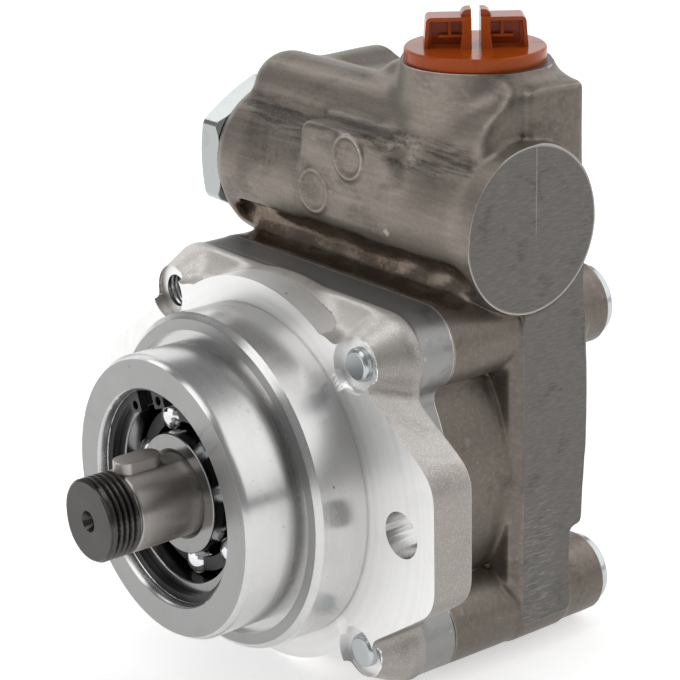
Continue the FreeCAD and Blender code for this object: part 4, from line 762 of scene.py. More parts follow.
def dressed(node, width=0.0, corner=None, radius=0.0):
    """A copy of a CAD node: flat faces in one piece, chosen corners rounded, sharp edges broken."""
    item = welded(node, "dressed_" + node)
    work = bmesh.new()
    work.from_mesh(item.data)
    bmesh.ops.dissolve_limit(work, angle_limit=math.radians(0.6), verts=work.verts, edges=work.edges)
    if corner:
        bmesh.ops.bevel(work, geom=[edge for edge in work.edges if corner(edge)], offset=radius * MM,
                        offset_type="OFFSET", segments=6, profile=0.5, affect="EDGES")
    for face in work.faces:
        face.smooth = True
    work.to_mesh(item.data)
    work.free()
    if width:
        break_edges(item, width)
    return item


def grip_place(across, through, up):
    """A point of the transport plug's grip, whose width runs across the port."""
    angle = math.radians(GRIP_ANGLE)
    return (SUCTION.x + across * math.cos(angle) - through * math.sin(angle),
            SUCTION.y + across * math.sin(angle) + through * math.cos(angle), up)


def grip_rib(name, foot, crown):
    """A rib between two level rectangles: across from and to, through from and to, height."""
    points = []
    for low, high, near, far, up in (foot, crown):
        points += [grip_place(low, near, up), grip_place(high, near, up),
                   grip_place(high, far, up), grip_place(low, far, up)]
    faces = [(0, 3, 2, 1), (4, 5, 6, 7)]
    faces += [(side, (side + 1) % 4, 4 + (side + 1) % 4, 4 + side) for side in range(4)]
    return solid_from(name, points, faces)


def grip_reach(side, low, high):
    """A stretch on one side of the grip's middle, lower end first."""
    return sorted((side * low, side * high))


def transport_plug():
    """Plastic plug with rounded posts, and the ribs inside its grip."""
    top = span("suction_port_plug")[1].z - GRIP_POST_UP

    def from_slot(place):
        angle = math.radians(GRIP_ANGLE)
        return abs((place.x - SUCTION.x) * math.cos(angle) + (place.y - SUCTION.y) * math.sin(angle))

    def post_tip(edge):
        ends = [vertex.co / MM for vertex in edge.verts]
        level = min(place.z for place in ends) > top + GRIP_POST_UP - 0.01
        return level and min(from_slot(place) for place in ends) > GRIP_SLOT_HALF + 0.5

    item = dressed("suction_port_plug", 0.0, post_tip, GRIP_POST_ROUND)
    web = GRIP_HALF_DEPTH - POCKET_DEPTH
    slot = GRIP_SLOT_HALF
    pockets = []
    ribs = []
    for side in (-1, 1):
        for face in (-1, 1):
            name = "grip_%s_%s" % ("right" if side > 0 else "left", "rear" if face > 0 else "front")
            opening = grip_reach(face, web, GRIP_HALF_DEPTH + 0.5)
            foot = (*grip_reach(side, POCKET_START, POCKET_END_LOW), *opening)
            crown = (*grip_reach(side, POCKET_START, POCKET_END_HIGH), *opening)
            pockets.append(grip_rib(name + "_pocket", (*foot, top - POCKET_SILL),
                                    (*crown, top + GRIP_UP - POCKET_LINTEL)))
            ribs.append(grip_rib(
                name + "_gusset",
                (*grip_reach(side, slot, slot + GUSSET_FOOT),
                 *grip_reach(face, 1.0, GRIP_HALF_DEPTH + GUSSET_PROUD), top - 0.3),
                (*grip_reach(side, slot, slot + GUSSET_CROWN),
                 *grip_reach(face, 1.0, GRIP_HALF_DEPTH + 0.05), top + GRIP_UP - 0.1)))
            root = web - RIB_ROOT
            shelf = (*grip_reach(side, *SHELF_ACROSS),
                     *grip_reach(face, root, GRIP_HALF_DEPTH - SHELF_SET_BACK))
            ribs.append(grip_rib(name + "_shelf", (*shelf, top + SHELF_UP[0]), (*shelf, top + SHELF_UP[1])))
            upright = (*grip_reach(side, *UPRIGHT_ACROSS),
                       *grip_reach(face, root, GRIP_HALF_DEPTH - UPRIGHT_SET_BACK))
            ribs.append(grip_rib(name + "_upright", (*upright, top + UPRIGHT_FOOT),
                                 (*upright, top + GRIP_UP - 0.7)))
    for pocket in pockets:
        cut(item, pocket, "EXACT")
    break_edges(item, GRIP_EDGE)
    for rib in ribs:
        break_edges(rib, GRIP_EDGE)
        join(item, rib, "EXACT")
    return item


def drive_shaft():
    """The shaft with its fine thread cut."""
    item = dressed("drive_shaft")
    start = span("drive_shaft")[0].y
    groove = helical_groove("shaft_thread", (0, 0, 0), SHAFT_RADIUS, THREAD_CUT, THREAD_PITCH,
                            start - THREAD_PITCH / 2, start + THREAD_LENGTH + 0.3)
    return cut(item, groove, "EXACT")


def flow_spring():
    """The flow valve's spring, shaded smooth and set on its body; in the pump the spool squeezes it towards
    the plug.
    """
    item = welded("valve_spring", "dressed_valve_spring")
    item.data.polygons.foreach_set("use_smooth", np.ones(len(item.data.polygons), bool))
    mount_piece(item, "valve_spring")
    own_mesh(item)


def stage_floor():
    """Pale floor under the part."""
    work = bmesh.new()
    bmesh.ops.create_grid(work, x_segments=1, y_segments=1, size=FLOOR_HALF_SIZE)
    floor = piece_of(work, "floor")
    floor.location.z = FLOOR_Z * MM
    return floor


def towards(azimuth, elevation):
    """Direction from the pump: azimuth 0 is -Y and 90 is +X, in degrees."""
    azimuth = math.radians(azimuth)
    elevation = math.radians(elevation)
    return Vector((math.sin(azimuth) * math.cos(elevation),
                   -math.cos(azimuth) * math.cos(elevation), math.sin(elevation)))


def camera():
    """The camera that the photograph's circles and edges give."""
    azimuth = math.radians(CAMERA_AZIMUTH)
    roll = math.radians(CAMERA_ROLL)
    away = towards(CAMERA_AZIMUTH, CAMERA_ELEVATION)
    right = Vector((math.cos(azimuth), math.sin(azimuth), 0))
    up = away.cross(right)
    turned_right = right * math.cos(roll) + up * math.sin(roll)
    turned_up = up * math.cos(roll) - right * math.sin(roll)
    data = bpy.data.cameras.new("camera")
    data.sensor_width = SENSOR_WIDTH
    data.lens = FOCAL_PIXELS / PHOTO_PIXELS * SENSOR_WIDTH
    data.clip_start = 0.01
    data.clip_end = 50
    item = bpy.data.objects.new("camera", data)
    bpy.context.scene.collection.objects.link(item)
    place = (away * CAMERA_DISTANCE + turned_right * CAMERA_RIGHT + turned_up * CAMERA_UP) * MM
    axes = Matrix((turned_right, turned_up, away)).transposed().to_4x4()
    item.matrix_world = Matrix.Translation(place) @ axes
    bpy.context.scene.camera = item


def soft_lamp(name, azimuth, elevation, distance, size, power):
    """A lamp that looks at the pump; distance and size are in metres."""
    data = bpy.data.lights.new(name, "AREA")
    data.shape = "RECTANGLE"
    data.size = size[0]
    data.size_y = size[1]
    data.energy = power
    item = bpy.data.objects.new(name, data)
    bpy.context.scene.collection.objects.link(item)
    away = towards(azimuth, elevation)
    facing = away.to_track_quat("Z", "Y").to_matrix().to_4x4()
    item.matrix_world = Matrix.Translation(away * distance) @ facing


def studio():
    """Even pale surroundings with soft lamps."""
    world = bpy.data.worlds.new("studio")
    world.use_nodes = True
    background = world.node_tree.nodes["Background"].inputs
    background["Color"].default_value = (1, 1, 1, 1)
    background["Strength"].default_value = WORLD_STRENGTH
    bpy.context.scene.world = world
    for lamp in LAMPS:
        soft_lamp(*lamp)


# Materials: a few shared effects as node groups, and one recipe for each finish


class Recipe:
    """A node tree, with a word for each step that builds it."""

    def __init__(self, tree):
        self.tree = tree
        self.place = None

    def fill(self, socket, value):
        """Give a socket a value or a link."""
        if isinstance(value, bpy.types.NodeSocket):
            self.tree.links.new(value, socket)
        else:
            socket.default_value = value

    def put(self, kind, sockets=None, **settings):
        """Add a node, set it up and fill its sockets."""
        made = self.tree.nodes.new(kind)
        for name, value in settings.items():
            setattr(made, name, value)
        for name, value in (sockets or {}).items():
            self.fill(made.inputs[name], value)
        return made

    def maths(self, operation, *values):
        """One step of arithmetic."""
        return self.put("ShaderNodeMath", dict(enumerate(values)), operation=operation).outputs[0]

    def plus(self, first, second):
        """The sum of two values."""
        return self.maths("ADD", first, second)

    def minus(self, first, second):
        """The first value less the second."""
        return self.maths("SUBTRACT", first, second)

    def times(self, first, second):
        """The product of two values."""
        return self.maths("MULTIPLY", first, second)

    def larger(self, first, second):
        """The larger of two values."""
        return self.maths("MAXIMUM", first, second)

    def stepped(self, value, low, high):
        """0 at low, 1 at high and a smooth change between."""
        made = self.put("ShaderNodeMapRange", {"Value": value, "From Min": low, "From Max": high},
                        interpolation_type="SMOOTHSTEP")
        return made.outputs["Result"]

    def parts(self, vector):
        """A vector's parts along X, Y and Z."""
        return self.put("ShaderNodeSeparateXYZ", {0: vector}).outputs

    def length(self, x, y, z=0.0):
        """Length of the vector with these parts."""
        vector = self.put("ShaderNodeCombineXYZ", {0: x, 1: y, 2: z}).outputs[0]
        return self.put("ShaderNodeVectorMath", {0: vector}, operation="LENGTH").outputs["Value"]

    def stretched(self, scale, turn=(0, 0, 0)):
        """The place, turned and then scaled along its axes."""
        return self.put("ShaderNodeMapping", {
            "Vector": self.place, "Rotation": turn, "Scale": scale}).outputs[0]

    def noise(self, size, detail=2.0, roughness=0.5, distortion=0.0, place=None):
        """Soft random values whose patches have a size in millimetres."""
        linked = isinstance(size, bpy.types.NodeSocket)
        return self.put("ShaderNodeTexNoise", {
            "Vector": self.place if place is None else place,
            "Scale": self.maths("DIVIDE", 1.0, size) if linked else 1.0 / size,
            "Detail": detail, "Roughness": roughness, "Distortion": distortion,
        }).outputs["Fac"]

    def line_noise(self, along, scale, detail):
        """Soft random values that change along one measure only."""
        return self.put("ShaderNodeTexNoise", {"W": along, "Scale": scale, "Detail": detail},
                        noise_dimensions="1D").outputs["Fac"]


class Effect(Recipe):
    """A shared node group that works from the place on the surface."""

    def __init__(self, name, results, **inputs):
        super().__init__(bpy.data.node_groups.new(name, "ShaderNodeTree"))
        sockets = self.tree.interface
        sockets.new_socket("Place", in_out="INPUT", socket_type="NodeSocketVector")
        for label, value in inputs.items():
            label = label.replace("_", " ")
            made = sockets.new_socket(label, in_out="INPUT", socket_type="NodeSocketFloat")
            made.default_value = value
        for label in results:
            sockets.new_socket(label, in_out="OUTPUT", socket_type="NodeSocketFloat")
        self.given = self.tree.nodes.new("NodeGroupInput").outputs
        self.results = self.tree.nodes.new("NodeGroupOutput").inputs
        self.place = self.given["Place"]

    def give(self, **results):
        """Link the group's results; gives the finished group."""
        for label, value in results.items():
            self.tree.links.new(value, self.results[label])
        return self.tree


def cast_grain():
    """Fine blasted or sand-cast grain: its height and its bright specks."""
    group = Effect("cast_grain", ["Height", "Specks"], Grain_Size=0.5)
    size = group.given["Grain Size"]
    coarse = group.noise(group.times(size, 2.6), 3.0, 0.6)
    fine = group.noise(size, 2.0, 0.6)
    return group.give(Height=group.plus(group.times(coarse, 0.45), group.times(fine, 0.55)),
                      Specks=group.stepped(fine, 0.50, 0.66))


def stains():
    """Uneven patches, such as dried oil and impregnation: a mask."""
    group = Effect("stains", ["Mask"], Patch_Size=12.0, Cover=0.4)
    patches = group.noise(group.given["Patch Size"], 7.0, 0.62, 0.5)
    low = group.minus(0.72, group.times(group.given["Cover"], 0.44))
    return group.give(Mask=group.stepped(patches, low, group.plus(low, 0.16)))


def scratches():
    """Thin scratches in two directions: a mask."""
    group = Effect("scratches", ["Mask"], Spacing=2.0)
    masks = []
    for turn, squeeze in ((0.5, 0.045), (-0.9, 0.06)):
        turned = group.stretched((squeeze, 1.0, 1.0), (turn, turn * 1.7, turn * 0.6))
        lines = group.noise(group.given["Spacing"], 2.0, 0.4, place=turned)
        masks.append(group.stepped(lines, 0.70, 0.76))
    return group.give(Mask=group.larger(*masks))


def turning_marks():
    """Fine rings that a lathe leaves round the shaft axis: their height and broad tone."""
    group = Effect("turning_marks", ["Height", "Tone"], Pitch=0.25)
    x, y, z = group.parts(group.place)
    along = group.plus(group.length(x, z), group.times(y, 1.13))
    rings = group.maths("DIVIDE", along, group.given["Pitch"])
    return group.give(Height=group.line_noise(rings, 1.0, 2.0), Tone=group.line_noise(along, 0.6, 3.0))


def edge_wear():
    """Rubbed outer edges and shaded inner corners, from how pointed the surface is."""
    group = Effect("edge_wear", ["Edge", "Crevice"], Pointiness=0.5, Reach=0.06)
    reach = group.given["Reach"]
    uneven = group.times(group.minus(group.noise(2.5, 3.0), 0.5), 0.03)
    value = group.plus(group.given["Pointiness"], uneven)
    open_share = group.stepped(value, group.minus(0.49, reach), 0.49)
    return group.give(Edge=group.stepped(value, 0.515, group.plus(0.515, reach)),
                      Crevice=group.minus(1.0, open_share))


def line_film_and_shade():
    """A mask round a straight line along X: the channel's film, partly painted shade, and the valley's
    painted shade.
    """
    group = Effect("line_film_and_shade", ["Mask"], Line_Y=0.0, Line_Z=0.0, Reach=5.0, Low_X=0.0, High_X=1.0)
    given = group.given
    uneven = group.times(group.noise(6.0, 3.0), 3.0)
    x, y, z = group.parts(group.place)
    before = group.larger(group.minus(given["Low X"], x), 0.0)
    beyond = group.larger(group.minus(x, given["High X"]), before)
    away = group.length(group.minus(y, given["Line Y"]), group.minus(z, given["Line Z"]), beyond)
    over = group.minus(group.plus(away, uneven), given["Reach"])
    return group.give(Mask=group.stepped(over, 1.6, -1.0))


EFFECTS = {made.name: made for made in (
    cast_grain(), stains(), scratches(), turning_marks(), edge_wear(), line_film_and_shade())}


class Finish(Recipe):
    """A material: layers of colour laid over each other, relief and a shader."""

    def __init__(self, name, colour):
        self.material = bpy.data.materials.new(name)
        self.material.use_nodes = True
        super().__init__(self.material.node_tree)
        self.shader = self.tree.nodes["Principled BSDF"]
        self.colour = colour
        object_place = self.tree.nodes.new("ShaderNodeTexCoord").outputs["Object"]
        self.place = self.put("ShaderNodeVectorMath", {0: object_place, 1: (1 / MM,) * 3},
                              operation="MULTIPLY").outputs[0]

    def use(self, name, **values):
        """Place a shared effect; gives its outputs."""
        made = self.put("ShaderNodeGroup", node_tree=EFFECTS[name])
        self.fill(made.inputs["Place"], self.place)
        for label, value in values.items():
            self.fill(made.inputs[label.replace("_", " ")], value)
        return made.outputs

    def stained(self, size, cover):
        """Where stains of this size lie."""
        return self.use("stains", Patch_Size=size, Cover=cover)["Mask"]

    def scratched(self, spacing):
        """Where scratches run."""
        return self.use("scratches", Spacing=spacing)["Mask"]

    def wear_and_shade(self):
        """Edge wear and painted shade in inner corners, fed with this surface's pointiness."""
        pointiness = self.tree.nodes.new("ShaderNodeNewGeometry").outputs["Pointiness"]
        return self.use("edge_wear", Pointiness=pointiness, Reach=0.05)

    def sideways(self, low, high):
        """Mask for painted shade: 0 where the surface looks forwards, back, up or down and 1 where it looks
        left or right.
        """
        normal = self.tree.nodes.new("ShaderNodeTexCoord").outputs["Normal"]
        return self.stepped(self.maths("ABSOLUTE", self.parts(normal)[0]), low, high)

    def underside_shade(self, low, high):
        """Mask for painted shade: 1 where the surface looks down and 0 where it doesn't."""
        normal = self.tree.nodes.new("ShaderNodeTexCoord").outputs["Normal"]
        return self.stepped(self.parts(normal)[2], low, high)

    def layer(self, mask, colour, strength=None, blend="MIX"):
        """Lay a colour over what is there, as far as a mask and its strength let it."""
        share = mask if strength is None else self.times(mask, strength)
        made = self.put("ShaderNodeMix", {0: share, 6: self.colour, 7: colour},
                        data_type="RGBA", blend_type=blend)
        self.colour = made.outputs[2]

    def bump(self, height, distance, strength):
        """Raise the surface by a height map; distance is in millimetres."""
        made = self.put("ShaderNodeBump", {
            "Height": height, "Distance": distance * MM, "Strength": strength})
        self.fill(self.shader.inputs["Normal"], made.outputs[0])

    def lathe_grain(self, share):
        """Stretch reflections across the fine rings round the shaft axis."""
        x, _, z = self.parts(self.place)
        ring = self.put("ShaderNodeCombineXYZ", {"X": self.times(z, -1.0), "Z": x}).outputs[0]
        along = self.put("ShaderNodeVectorTransform", {0: ring}, vector_type="VECTOR",
                         convert_from="OBJECT", convert_to="WORLD").outputs[0]
        self.fill(self.shader.inputs["Tangent"], along)
        self.shader.inputs["Anisotropic"].default_value = share
        self.shader.inputs["Anisotropic Rotation"].default_value = 0.25

    def done(self, **values):
        """Fill the shader's sockets; gives the material."""
        for label, value in {"Base_Color": self.colour, **values}.items():
            self.fill(self.shader.inputs[label.replace("_", " ")], value)
        return self.material


def grey(level, warmth=0.0):
    """A near-grey colour; warmth shifts it towards brown."""
    return (level * (1 + warmth), level, level * (1 - warmth), 1.0)


def darkened(colour, share):
    """A colour with a share of its light left."""
    return tuple(part * share for part in colour[:3]) + (1.0,)


def turned_aluminium(name, level, roughness):
    """Lathe-turned aluminium: fine rings, cloudy patches and a few pits."""
    finish = Finish(name, grey(level * 0.9, 0.008))
    marks = finish.use("turning_marks", Pitch=0.22)
    finish.layer(marks["Tone"], grey(level, 0.004))
    finish.layer(finish.stepped(finish.noise(9.0, 4.0, 0.6), 0.45, 0.8), grey(level * 0.72, 0.015), 0.25)
    finish.layer(finish.stepped(finish.noise(0.9, 0.0), 0.86, 0.88), grey(0.12, 0.05))
    rough = finish.plus(roughness, finish.times(marks["Tone"], 0.10))
    rough = finish.plus(rough, finish.times(finish.scratched(1.6), 0.04))
    finish.bump(marks["Height"], 0.010, 0.4)
    finish.lathe_grain(0.6)
    return finish.done(Metallic=1.0, Roughness=rough)


def blasted_casting():
    """Light blasted grain of the cover's cast bosses and ears, with painted shade in inner corners and on
    sides and undersides.
    """
    finish = Finish("blasted_casting", grey(0.62, 0.045))
    grain = finish.use("cast_grain", Grain_Size=0.34)
    wear_and_shade = finish.wear_and_shade()
    finish.layer(finish.stained(14.0, 0.45), grey(0.50, 0.06))
    finish.layer(grain["Specks"], grey(0.86, 0.03), 0.5)
    finish.layer(wear_and_shade["Edge"], grey(0.88, 0.03), 0.7)
    # Painted shade: sides and undersides darker.
    finish.layer(finish.sideways(0.4, 0.95), grey(0.50, 0.03), blend="MULTIPLY")
    finish.layer(finish.underside_shade(-0.2, -0.8), grey(0.62, 0.03), blend="MULTIPLY")
    # Painted shade in inner corners.
    finish.layer(wear_and_shade["Crevice"], grey(0.2, 0.12), 0.6)
    finish.bump(grain["Height"], 0.12, 0.6)
    rough = finish.minus(0.52, finish.times(grain["Specks"], 0.16))
    return finish.done(Metallic=0.85, Roughness=rough)


def smooth_casting():
    """Smooth dull skin behind the cover's parting line."""
    finish = Finish("smooth_casting", grey(0.27, 0.01))
    finish.layer(finish.stained(9.0, 0.4), grey(0.20, 0.02))
    finish.layer(finish.wear_and_shade()["Edge"], grey(0.75, 0.02), 0.9)
    finish.layer(finish.scratched(2.2), grey(0.55, 0.01), 0.4)
    finish.bump(finish.use("cast_grain", Grain_Size=0.9)["Height"], 0.05, 0.4)
    return finish.done(Metallic=0.8, Roughness=0.42)


def brown_casting():
    """Dark impregnated skin of the housing, glossy in its creases; painted shade darkens its creases, the
    valley, the channel's film, sides and undersides, and painted glints dot the channel.
    """
    finish = Finish("brown_casting", (0.235, 0.203, 0.175, 1))
    grain = finish.use("cast_grain", Grain_Size=0.8)
    wear_and_shade = finish.wear_and_shade()
    long = finish.stretched((0.10, 1.0, 1.0))
    streaks = finish.stepped(finish.noise(1.4, 5.0, 0.65, place=long), 0.42, 0.68)
    valley = finish.use("line_film_and_shade", Line_Y=VALLEY_Y, Line_Z=VALLEY_Z, Reach=VALLEY_REACH,
                        Low_X=VALLEY_START, High_X=VALLEY_END)["Mask"]
    # Painted shade in the valley, in long streaks.
    valley_shade = finish.times(valley, finish.stepped(finish.noise(3.0, 6.0, 0.7, place=long), 0.44, 0.6))
    # The channel's film: darker and glossier, partly painted shade of the crease.
    channel_film_and_shade = finish.use("line_film_and_shade", Line_Y=CHANNEL_START[1], Line_Z=CHANNEL_START[2],
                      Reach=CHANNEL_RADIUS + 2.0, Low_X=CHANNEL_START[0], High_X=CHANNEL_END[0])["Mask"]
    # Painted glints: bright coppery spots along the channel.
    glints = finish.times(finish.stepped(finish.noise(1.4, 4.0), 0.5, 0.68), channel_film_and_shade)
    finish.layer(finish.stained(16.0, 0.5), (0.160, 0.137, 0.117, 1))
    finish.layer(streaks, (0.34, 0.30, 0.265, 1), 0.35)
    finish.layer(finish.stained(4.5, 0.18), (0.07, 0.055, 0.045, 1), 0.6)
    # Painted shade in the valley.
    finish.layer(valley_shade, (0.05, 0.042, 0.035, 1), 0.8)
    finish.layer(grain["Specks"], (0.42, 0.38, 0.34, 1), 0.14)
    finish.layer(finish.scratched(2.6), (0.4, 0.37, 0.34, 1), 0.35)
    # Painted shade in inner corners, which are also glossier.
    finish.layer(wear_and_shade["Crevice"], (0.10, 0.06, 0.035, 1), 0.9)
    finish.layer(wear_and_shade["Edge"], (0.62, 0.56, 0.50, 1), 0.8)
    # The channel's film, partly painted shade.
    finish.layer(channel_film_and_shade, (0.13, 0.094, 0.066, 1), 0.75)
    # Painted glints along the channel.
    finish.layer(glints, (0.38, 0.25, 0.16, 1), 0.28)
    # Painted shade: sides and undersides darker.
    finish.layer(finish.sideways(0.45, 0.9), grey(0.60, 0.01), blend="MULTIPLY")
    finish.layer(finish.underside_shade(-0.4, -0.9), grey(0.75, 0.01), blend="MULTIPLY")
    lumps = finish.times(finish.noise(1.5, 3.0), finish.times(channel_film_and_shade, 3.5))
    finish.bump(finish.plus(grain["Height"], lumps), 0.08, 0.5)
    wet = finish.larger(wear_and_shade["Crevice"], channel_film_and_shade)
    return finish.done(Metallic=0.8, Roughness=finish.minus(0.43, finish.times(wet, 0.25)))


def milled_casting():
    """Milled faces of the housing: short cutter lines under the same dark film, painted highlights along
    the valve end's rim and the mill step, and painted shadow under the valve cylinder's overhang.
    """
    finish = Finish("milled_casting", grey(0.110, 0.06))
    x, y, z = finish.parts(finish.place)
    streaks = finish.stretched((1.0, 0.3, 2.6))
    lines = finish.noise(1.0, 4.0, 0.65, place=streaks)
    low_side = finish.times(finish.stepped(z, 2.0, -16.0), finish.stepped(y, 56.0, 50.0))
    scuffs = finish.stepped(finish.noise(1.2, 5.0, 0.75, place=streaks), 0.50, 0.62)
    radius = finish.length(finish.minus(y, VALVE.y), finish.minus(z, VALVE.z))
    at_end = finish.stepped(x, BLOCK_SIDE + 0.3, BLOCK_SIDE + 0.6)
    # Painted highlight along the rim of the valve cylinder's end.
    rim = finish.times(finish.stepped(radius, VALVE_RADIUS - 0.7, VALVE_RADIUS - 0.2), at_end)
    # Painted shadow on the block side under the valve cylinder's overhang.
    shadow_under_valve = finish.stepped(radius, VALVE_RADIUS + 1.6, VALVE_RADIUS)
    below = finish.times(shadow_under_valve, finish.minus(1.0, at_end))
    # Painted highlight along the mill step.
    from_step = finish.maths("ABSOLUTE", finish.minus(y, MILL_STEP_Y))
    step_highlight = finish.times(finish.times(finish.stepped(from_step, 0.35, 0.1), at_end),
                             finish.stepped(z, 56.0, 66.0))
    finish.layer(finish.stained(7.0, 0.45), grey(0.080, 0.08))
    finish.layer(finish.stepped(lines, 0.42, 0.62), grey(0.150, 0.06), 0.6)
    finish.layer(finish.scratched(1.5), grey(0.26, 0.03), 0.12)
    finish.layer(finish.times(scuffs, low_side), grey(0.28, 0.02), 0.45)
    # Painted highlights on the rim and the mill step.
    finish.layer(finish.larger(rim, finish.times(step_highlight, 0.4)), grey(0.5, 0.04), 0.55)
    # Painted shadow under the valve cylinder's overhang.
    finish.layer(below, grey(0.03, 0.1), 0.75)
    finish.bump(lines, 0.035, 0.5)
    return finish.done(Metallic=0.85, Roughness=0.42)


def plain_metal(name, colour, roughness, rings=0.0, metallic=1.0, stain=0.3, stain_colour=None):
    """Steel, iron or bronze with faint stains and, if turned, fine rings."""
    finish = Finish(name, colour)
    patches = finish.stained(5.0, 0.4)
    darker = stain_colour or darkened(colour, 0.6)
    finish.layer(patches, darker, stain)
    if rings:
        marks = finish.use("turning_marks", Pitch=0.2)
        finish.layer(marks["Tone"], darker, 0.35)
        finish.bump(marks["Height"], rings, 0.5)
        finish.lathe_grain(0.7)
    else:
        finish.bump(finish.use("cast_grain", Grain_Size=0.4)["Height"], 0.008, 0.4)
    return finish.done(Metallic=metallic, Roughness=finish.plus(roughness, finish.times(patches, 0.08)))


def moulded(name, colour, roughness, grain_height):
    """Moulded plastic or rubber with faint clouds and a fine grain."""
    finish = Finish(name, colour)
    clouds = finish.stained(6.0, 0.35)
    finish.layer(clouds, darkened(colour, 0.72), 0.5)
    finish.bump(finish.use("cast_grain", Grain_Size=0.35)["Height"], grain_height, 0.4)
    rough = finish.plus(roughness, finish.times(clouds, 0.1))
    return finish.done(Metallic=0.0, Roughness=rough, Specular_IOR_Level=0.2)


def floor_finish():
    """Pale matt paper, lit from below like a light table."""
    finish = Finish("floor_paper", grey(0.86))
    finish.layer(finish.noise(60.0, 2.0), grey(0.88))
    return finish.done(Roughness=0.8, Emission_Color=grey(1.0), Emission_Strength=FLOOR_GLOW)


def paint(item, *materials):
    """Give an object its materials."""
    item.data.materials.clear()
    for material in materials:
        item.data.materials.append(material)


def facets(item):
    """Centres in millimetres and normals of an object's faces, and their X, Y and Z distances."""
    mesh = item.data
    centres = np.empty(len(mesh.polygons) * 3, np.float32)
    normals = np.empty(len(mesh.polygons) * 3, np.float32)
    mesh.polygons.foreach_get("center", centres)
    mesh.polygons.foreach_get("normal", normals)
    return centres.reshape(-1, 3).T / MM, np.abs(normals.reshape(-1, 3).T)


def sort_faces(item, choice, flat):
    """Give each face the material that its number in choice names, and shade flat ones flat."""
    item.data.polygons.foreach_set("material_index", choice.astype(np.int32))
    item.data.polygons.foreach_set("use_smooth", ~flat)
    item.data.update()


def paint_cover(item):
    """Machined, blasted and smooth areas of the cover, with a darker copy of the turned finish on the
    nose's and pilot's front faces as painted shade, and a lighter copy on the flange face, disc side and
    notch floors as painted light.
    """
    paint(item, *(MATERIALS[name] for name in ("turned", "blasted", "smooth", "shaded_faced", "flange")))
    turned, blasted, smooth, shaded_faced, flange = range(5)
    (x, y, z), normals = facets(item)
    radius = np.hypot(x, z)
    from_bolts = [np.hypot(x - bolt.x, z - bolt.z) for bolt in BOLTS]
    level = normals[1] > 0.9
    choice = np.where(y > PARTING_Y + PARTING_STEP + 0.05, smooth, blasted)
    machined = (y < TOUCH) | (radius < WITHIN_PILOT)
    machined |= np.hypot(np.abs(x) - MOUNT_HOLE_ACROSS, z) < MOUNT_HOLE_MOUTH
    disc = np.abs(radius - FLANGE_DISC_RADIUS) < 0.2
    lit_flange_faces = disc & (normals[1] < 0.1) & (y < MACHINED_DEPTH)
    lit_flange_faces |= level & (np.abs(y) < TOUCH)
    for away in from_bolts:
        in_notch = y < NOTCH_DEPTH + 0.05
        machined |= (away < TAPPING_MOUTH) | ((away < NOTCH_RADIUS + 0.05) & in_notch)
        lit_flange_faces |= (away < NOTCH_RADIUS + 0.15) & in_notch
    choice = np.where(machined, turned, choice)
    # Front faces of nose and pilot get the darker copy as painted shade; flange face, disc side and notch
    # floors the lighter copy as painted light.
    choice = np.where(level & (y < 0.5 - PILOT_LENGTH), shaded_faced, choice)
    choice = np.where(lit_flange_faces, flange, choice)
    open_hole = from_bolts[3]
    cast_floor = (open_hole < NOTCH_RADIUS + 0.15) & (open_hole > CAST_MOUTH) & (y > 0.1)
    sort_faces(item, np.where(cast_floor, blasted, choice), normals[1] > 0.9999)


def paint_shaft(item):
    """Dark thread and end, lighter ground seat behind them."""
    paint(item, SLOT_FINISHES["dark_steel"], MATERIALS["ground_seat"])
    (x, y, z), _ = facets(item)
    seat_start = span("drive_shaft")[0].y + THREAD_LENGTH + 0.3
    seat = (y > seat_start) & (np.hypot(x, z) > SHAFT_RADIUS - 1.0)
    sort_faces(item, seat.astype(int), np.zeros(len(y), bool))


def paint_housing(item):
    """Cast skin and milled faces of the housing."""
    paint(item, MATERIALS["brown"], MATERIALS["milled"])
    (x, y, z), normals = facets(item)
    touch = TOUCH / 2
    milled = (x > HOUSING_HIGH.x - touch) | (x < HOUSING_LOW.x + touch)
    milled |= (y < HOUSING_LOW.y + touch) | (y > HOUSING_HIGH.y - touch) | (z > HOUSING_HIGH.z - touch)
    milled |= (np.abs(x - HOUSING_HIGH.x + MILL_STEP_DEPTH) < touch) & (y > MILL_STEP_Y)
    milled |= (np.abs(np.abs(x) - BLOCK_SIDE) < TOUCH) & (normals[0] > 0.9)
    milled |= (np.abs(y - OUTLET_FACE) < touch) & (z > OUTLET_FACE_LOW) & (x < OUTLET_FACE_SIDE)
    sort_faces(item, milled.astype(int), normals.max(0) > 0.99999)


def mount_piece(item, node, angle=32):
    """Shade a dressed piece and let it stand for its CAD node on the node's body."""
    slot = SLOTS[node]
    if not item.data.materials:
        paint(item, SLOT_FINISHES[slot])
    item.data.set_sharp_from_angle(angle=math.radians(angle))
    weighted = item.modifiers.new("weighted_normals", "WEIGHTED_NORMAL")
    weighted.keep_sharp = True
    weighted.weight = 80
    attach(item, BODY_OF[node])
    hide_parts(node)


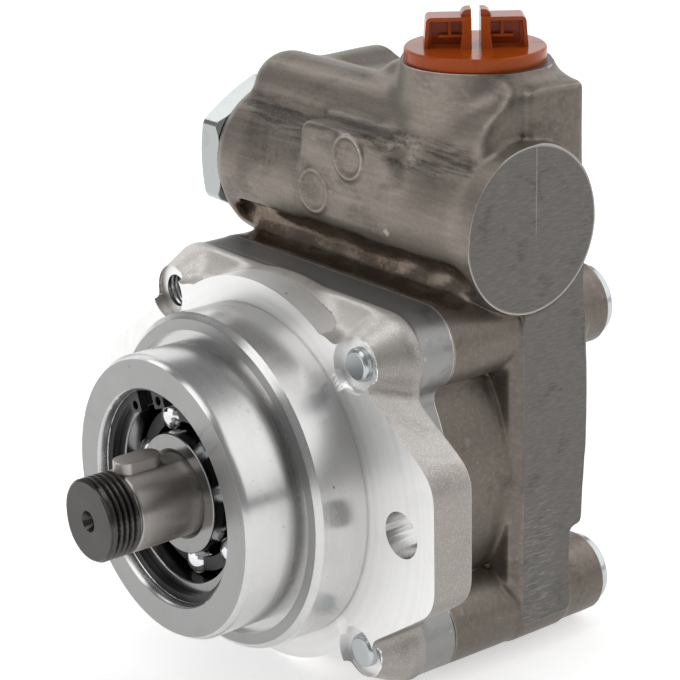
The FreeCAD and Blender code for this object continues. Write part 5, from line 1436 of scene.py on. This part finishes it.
bpy.context.scene.view_settings.view_transform = "Standard"
camera()
studio()
MATERIALS = {
    "turned": turned_aluminium("turned_aluminium", 0.63, 0.20),
    # Darker copy for the nose's and pilot's front faces: painted shade.
    "shaded_faced": turned_aluminium("faced_aluminium", 0.36, 0.30),
    # Lighter copy for the flange face, disc side and notch floors: painted light.
    "flange": turned_aluminium("lit_flange_aluminium", 0.92, 0.36),
    "ground_seat": plain_metal("ground_seat", (0.50, 0.465, 0.44, 1), 0.36, 0.008),
    "plug_zinc": plain_metal("plug_zinc", (0.42, 0.445, 0.44, 1), 0.24, stain=0.4,
                             stain_colour=(0.33, 0.355, 0.35, 1)),
    "blasted": blasted_casting(),
    "smooth": smooth_casting(),
    "brown": brown_casting(),
    "milled": milled_casting(),
}
SLOT_FINISHES = {
    "raw_aluminium": MATERIALS["turned"],
    "cast_housing": MATERIALS["brown"],
    "dark_steel": plain_metal("dark_steel", (0.085, 0.080, 0.076, 1), 0.30, 0.01),
    "bearing_steel": plain_metal("bearing_steel", (0.30, 0.30, 0.295, 1), 0.18, 0.006),
    "ball_steel": plain_metal("ball_steel", (0.72, 0.73, 0.75, 1), 0.06, stain=0.1),
    "cage": plain_metal("cage", (0.03, 0.03, 0.03, 1), 0.3, metallic=0.6),
    "black_steel": plain_metal("black_steel", (0.045, 0.045, 0.045, 1), 0.32, metallic=0.8),
    "rubber": moulded("rubber", (0.012, 0.012, 0.012, 1), 0.5, 0.02),
    "spring_steel": plain_metal("spring_steel", (0.36, 0.36, 0.37, 1), 0.25),
    "sintered_iron": plain_metal("sintered_iron", (0.26, 0.25, 0.24, 1), 0.45),
    "ground_steel": plain_metal("ground_steel", (0.55, 0.55, 0.56, 1), 0.18, 0.006),
    "bronze": plain_metal("bronze", (0.52, 0.36, 0.17, 1), 0.35),
    "zinc_plate": plain_metal("zinc_plate", (0.50, 0.535, 0.545, 1), 0.25, stain=0.5,
                              stain_colour=(0.42, 0.46, 0.47, 1)),
    "orange_plastic": moulded("orange_plastic", (0.34, 0.058, 0.005, 1), 0.2, 0.01),
}
SLOTS = {part["node"]: part["material_slot"] for part in frame["record"]["subparts"]}
BODY_OF = {node: body for body, nodes in frame["record"]["behaviour"]["bodies"].items() for node in nodes}
for name, slot in SLOTS.items():
    paint(frame["nodes"][name], SLOT_FINISHES[slot])

floor = stage_floor()
paint(floor, floor_finish())
housing = pump_housing()
paint_housing(housing)
mount_piece(housing, "pump_housing")
cover = front_cover()
paint_cover(cover)
mount_piece(cover, "front_cover")
shaft = drive_shaft()
paint_shaft(shaft)
mount_piece(shaft, "drive_shaft")
mount_piece(transport_plug(), "suction_port_plug")
key = dressed("shaft_key", 0.35)
paint(key, MATERIALS["ground_seat"])
mount_piece(key, "shaft_key")
valve_plug = dressed("valve_plug", 0.3)
paint(valve_plug, MATERIALS["plug_zinc"])
mount_piece(valve_plug, "valve_plug")
flow_spring()
BROKEN_EDGES = {
    "bearing_inner_ring": 0.25, "bearing_outer_ring": 0.2, "bearing_circlip": 0.12,
    "outlet_port_plug": 0.25,
    "housing_bolt_upper_right": 0.25, "housing_bolt_lower_right": 0.25,
    "housing_bolt_lower_left": 0.25, "housing_bolt_upper_left": 0.25,
}
for name, width in BROKEN_EDGES.items():
    mount_piece(dressed(name, width), name)
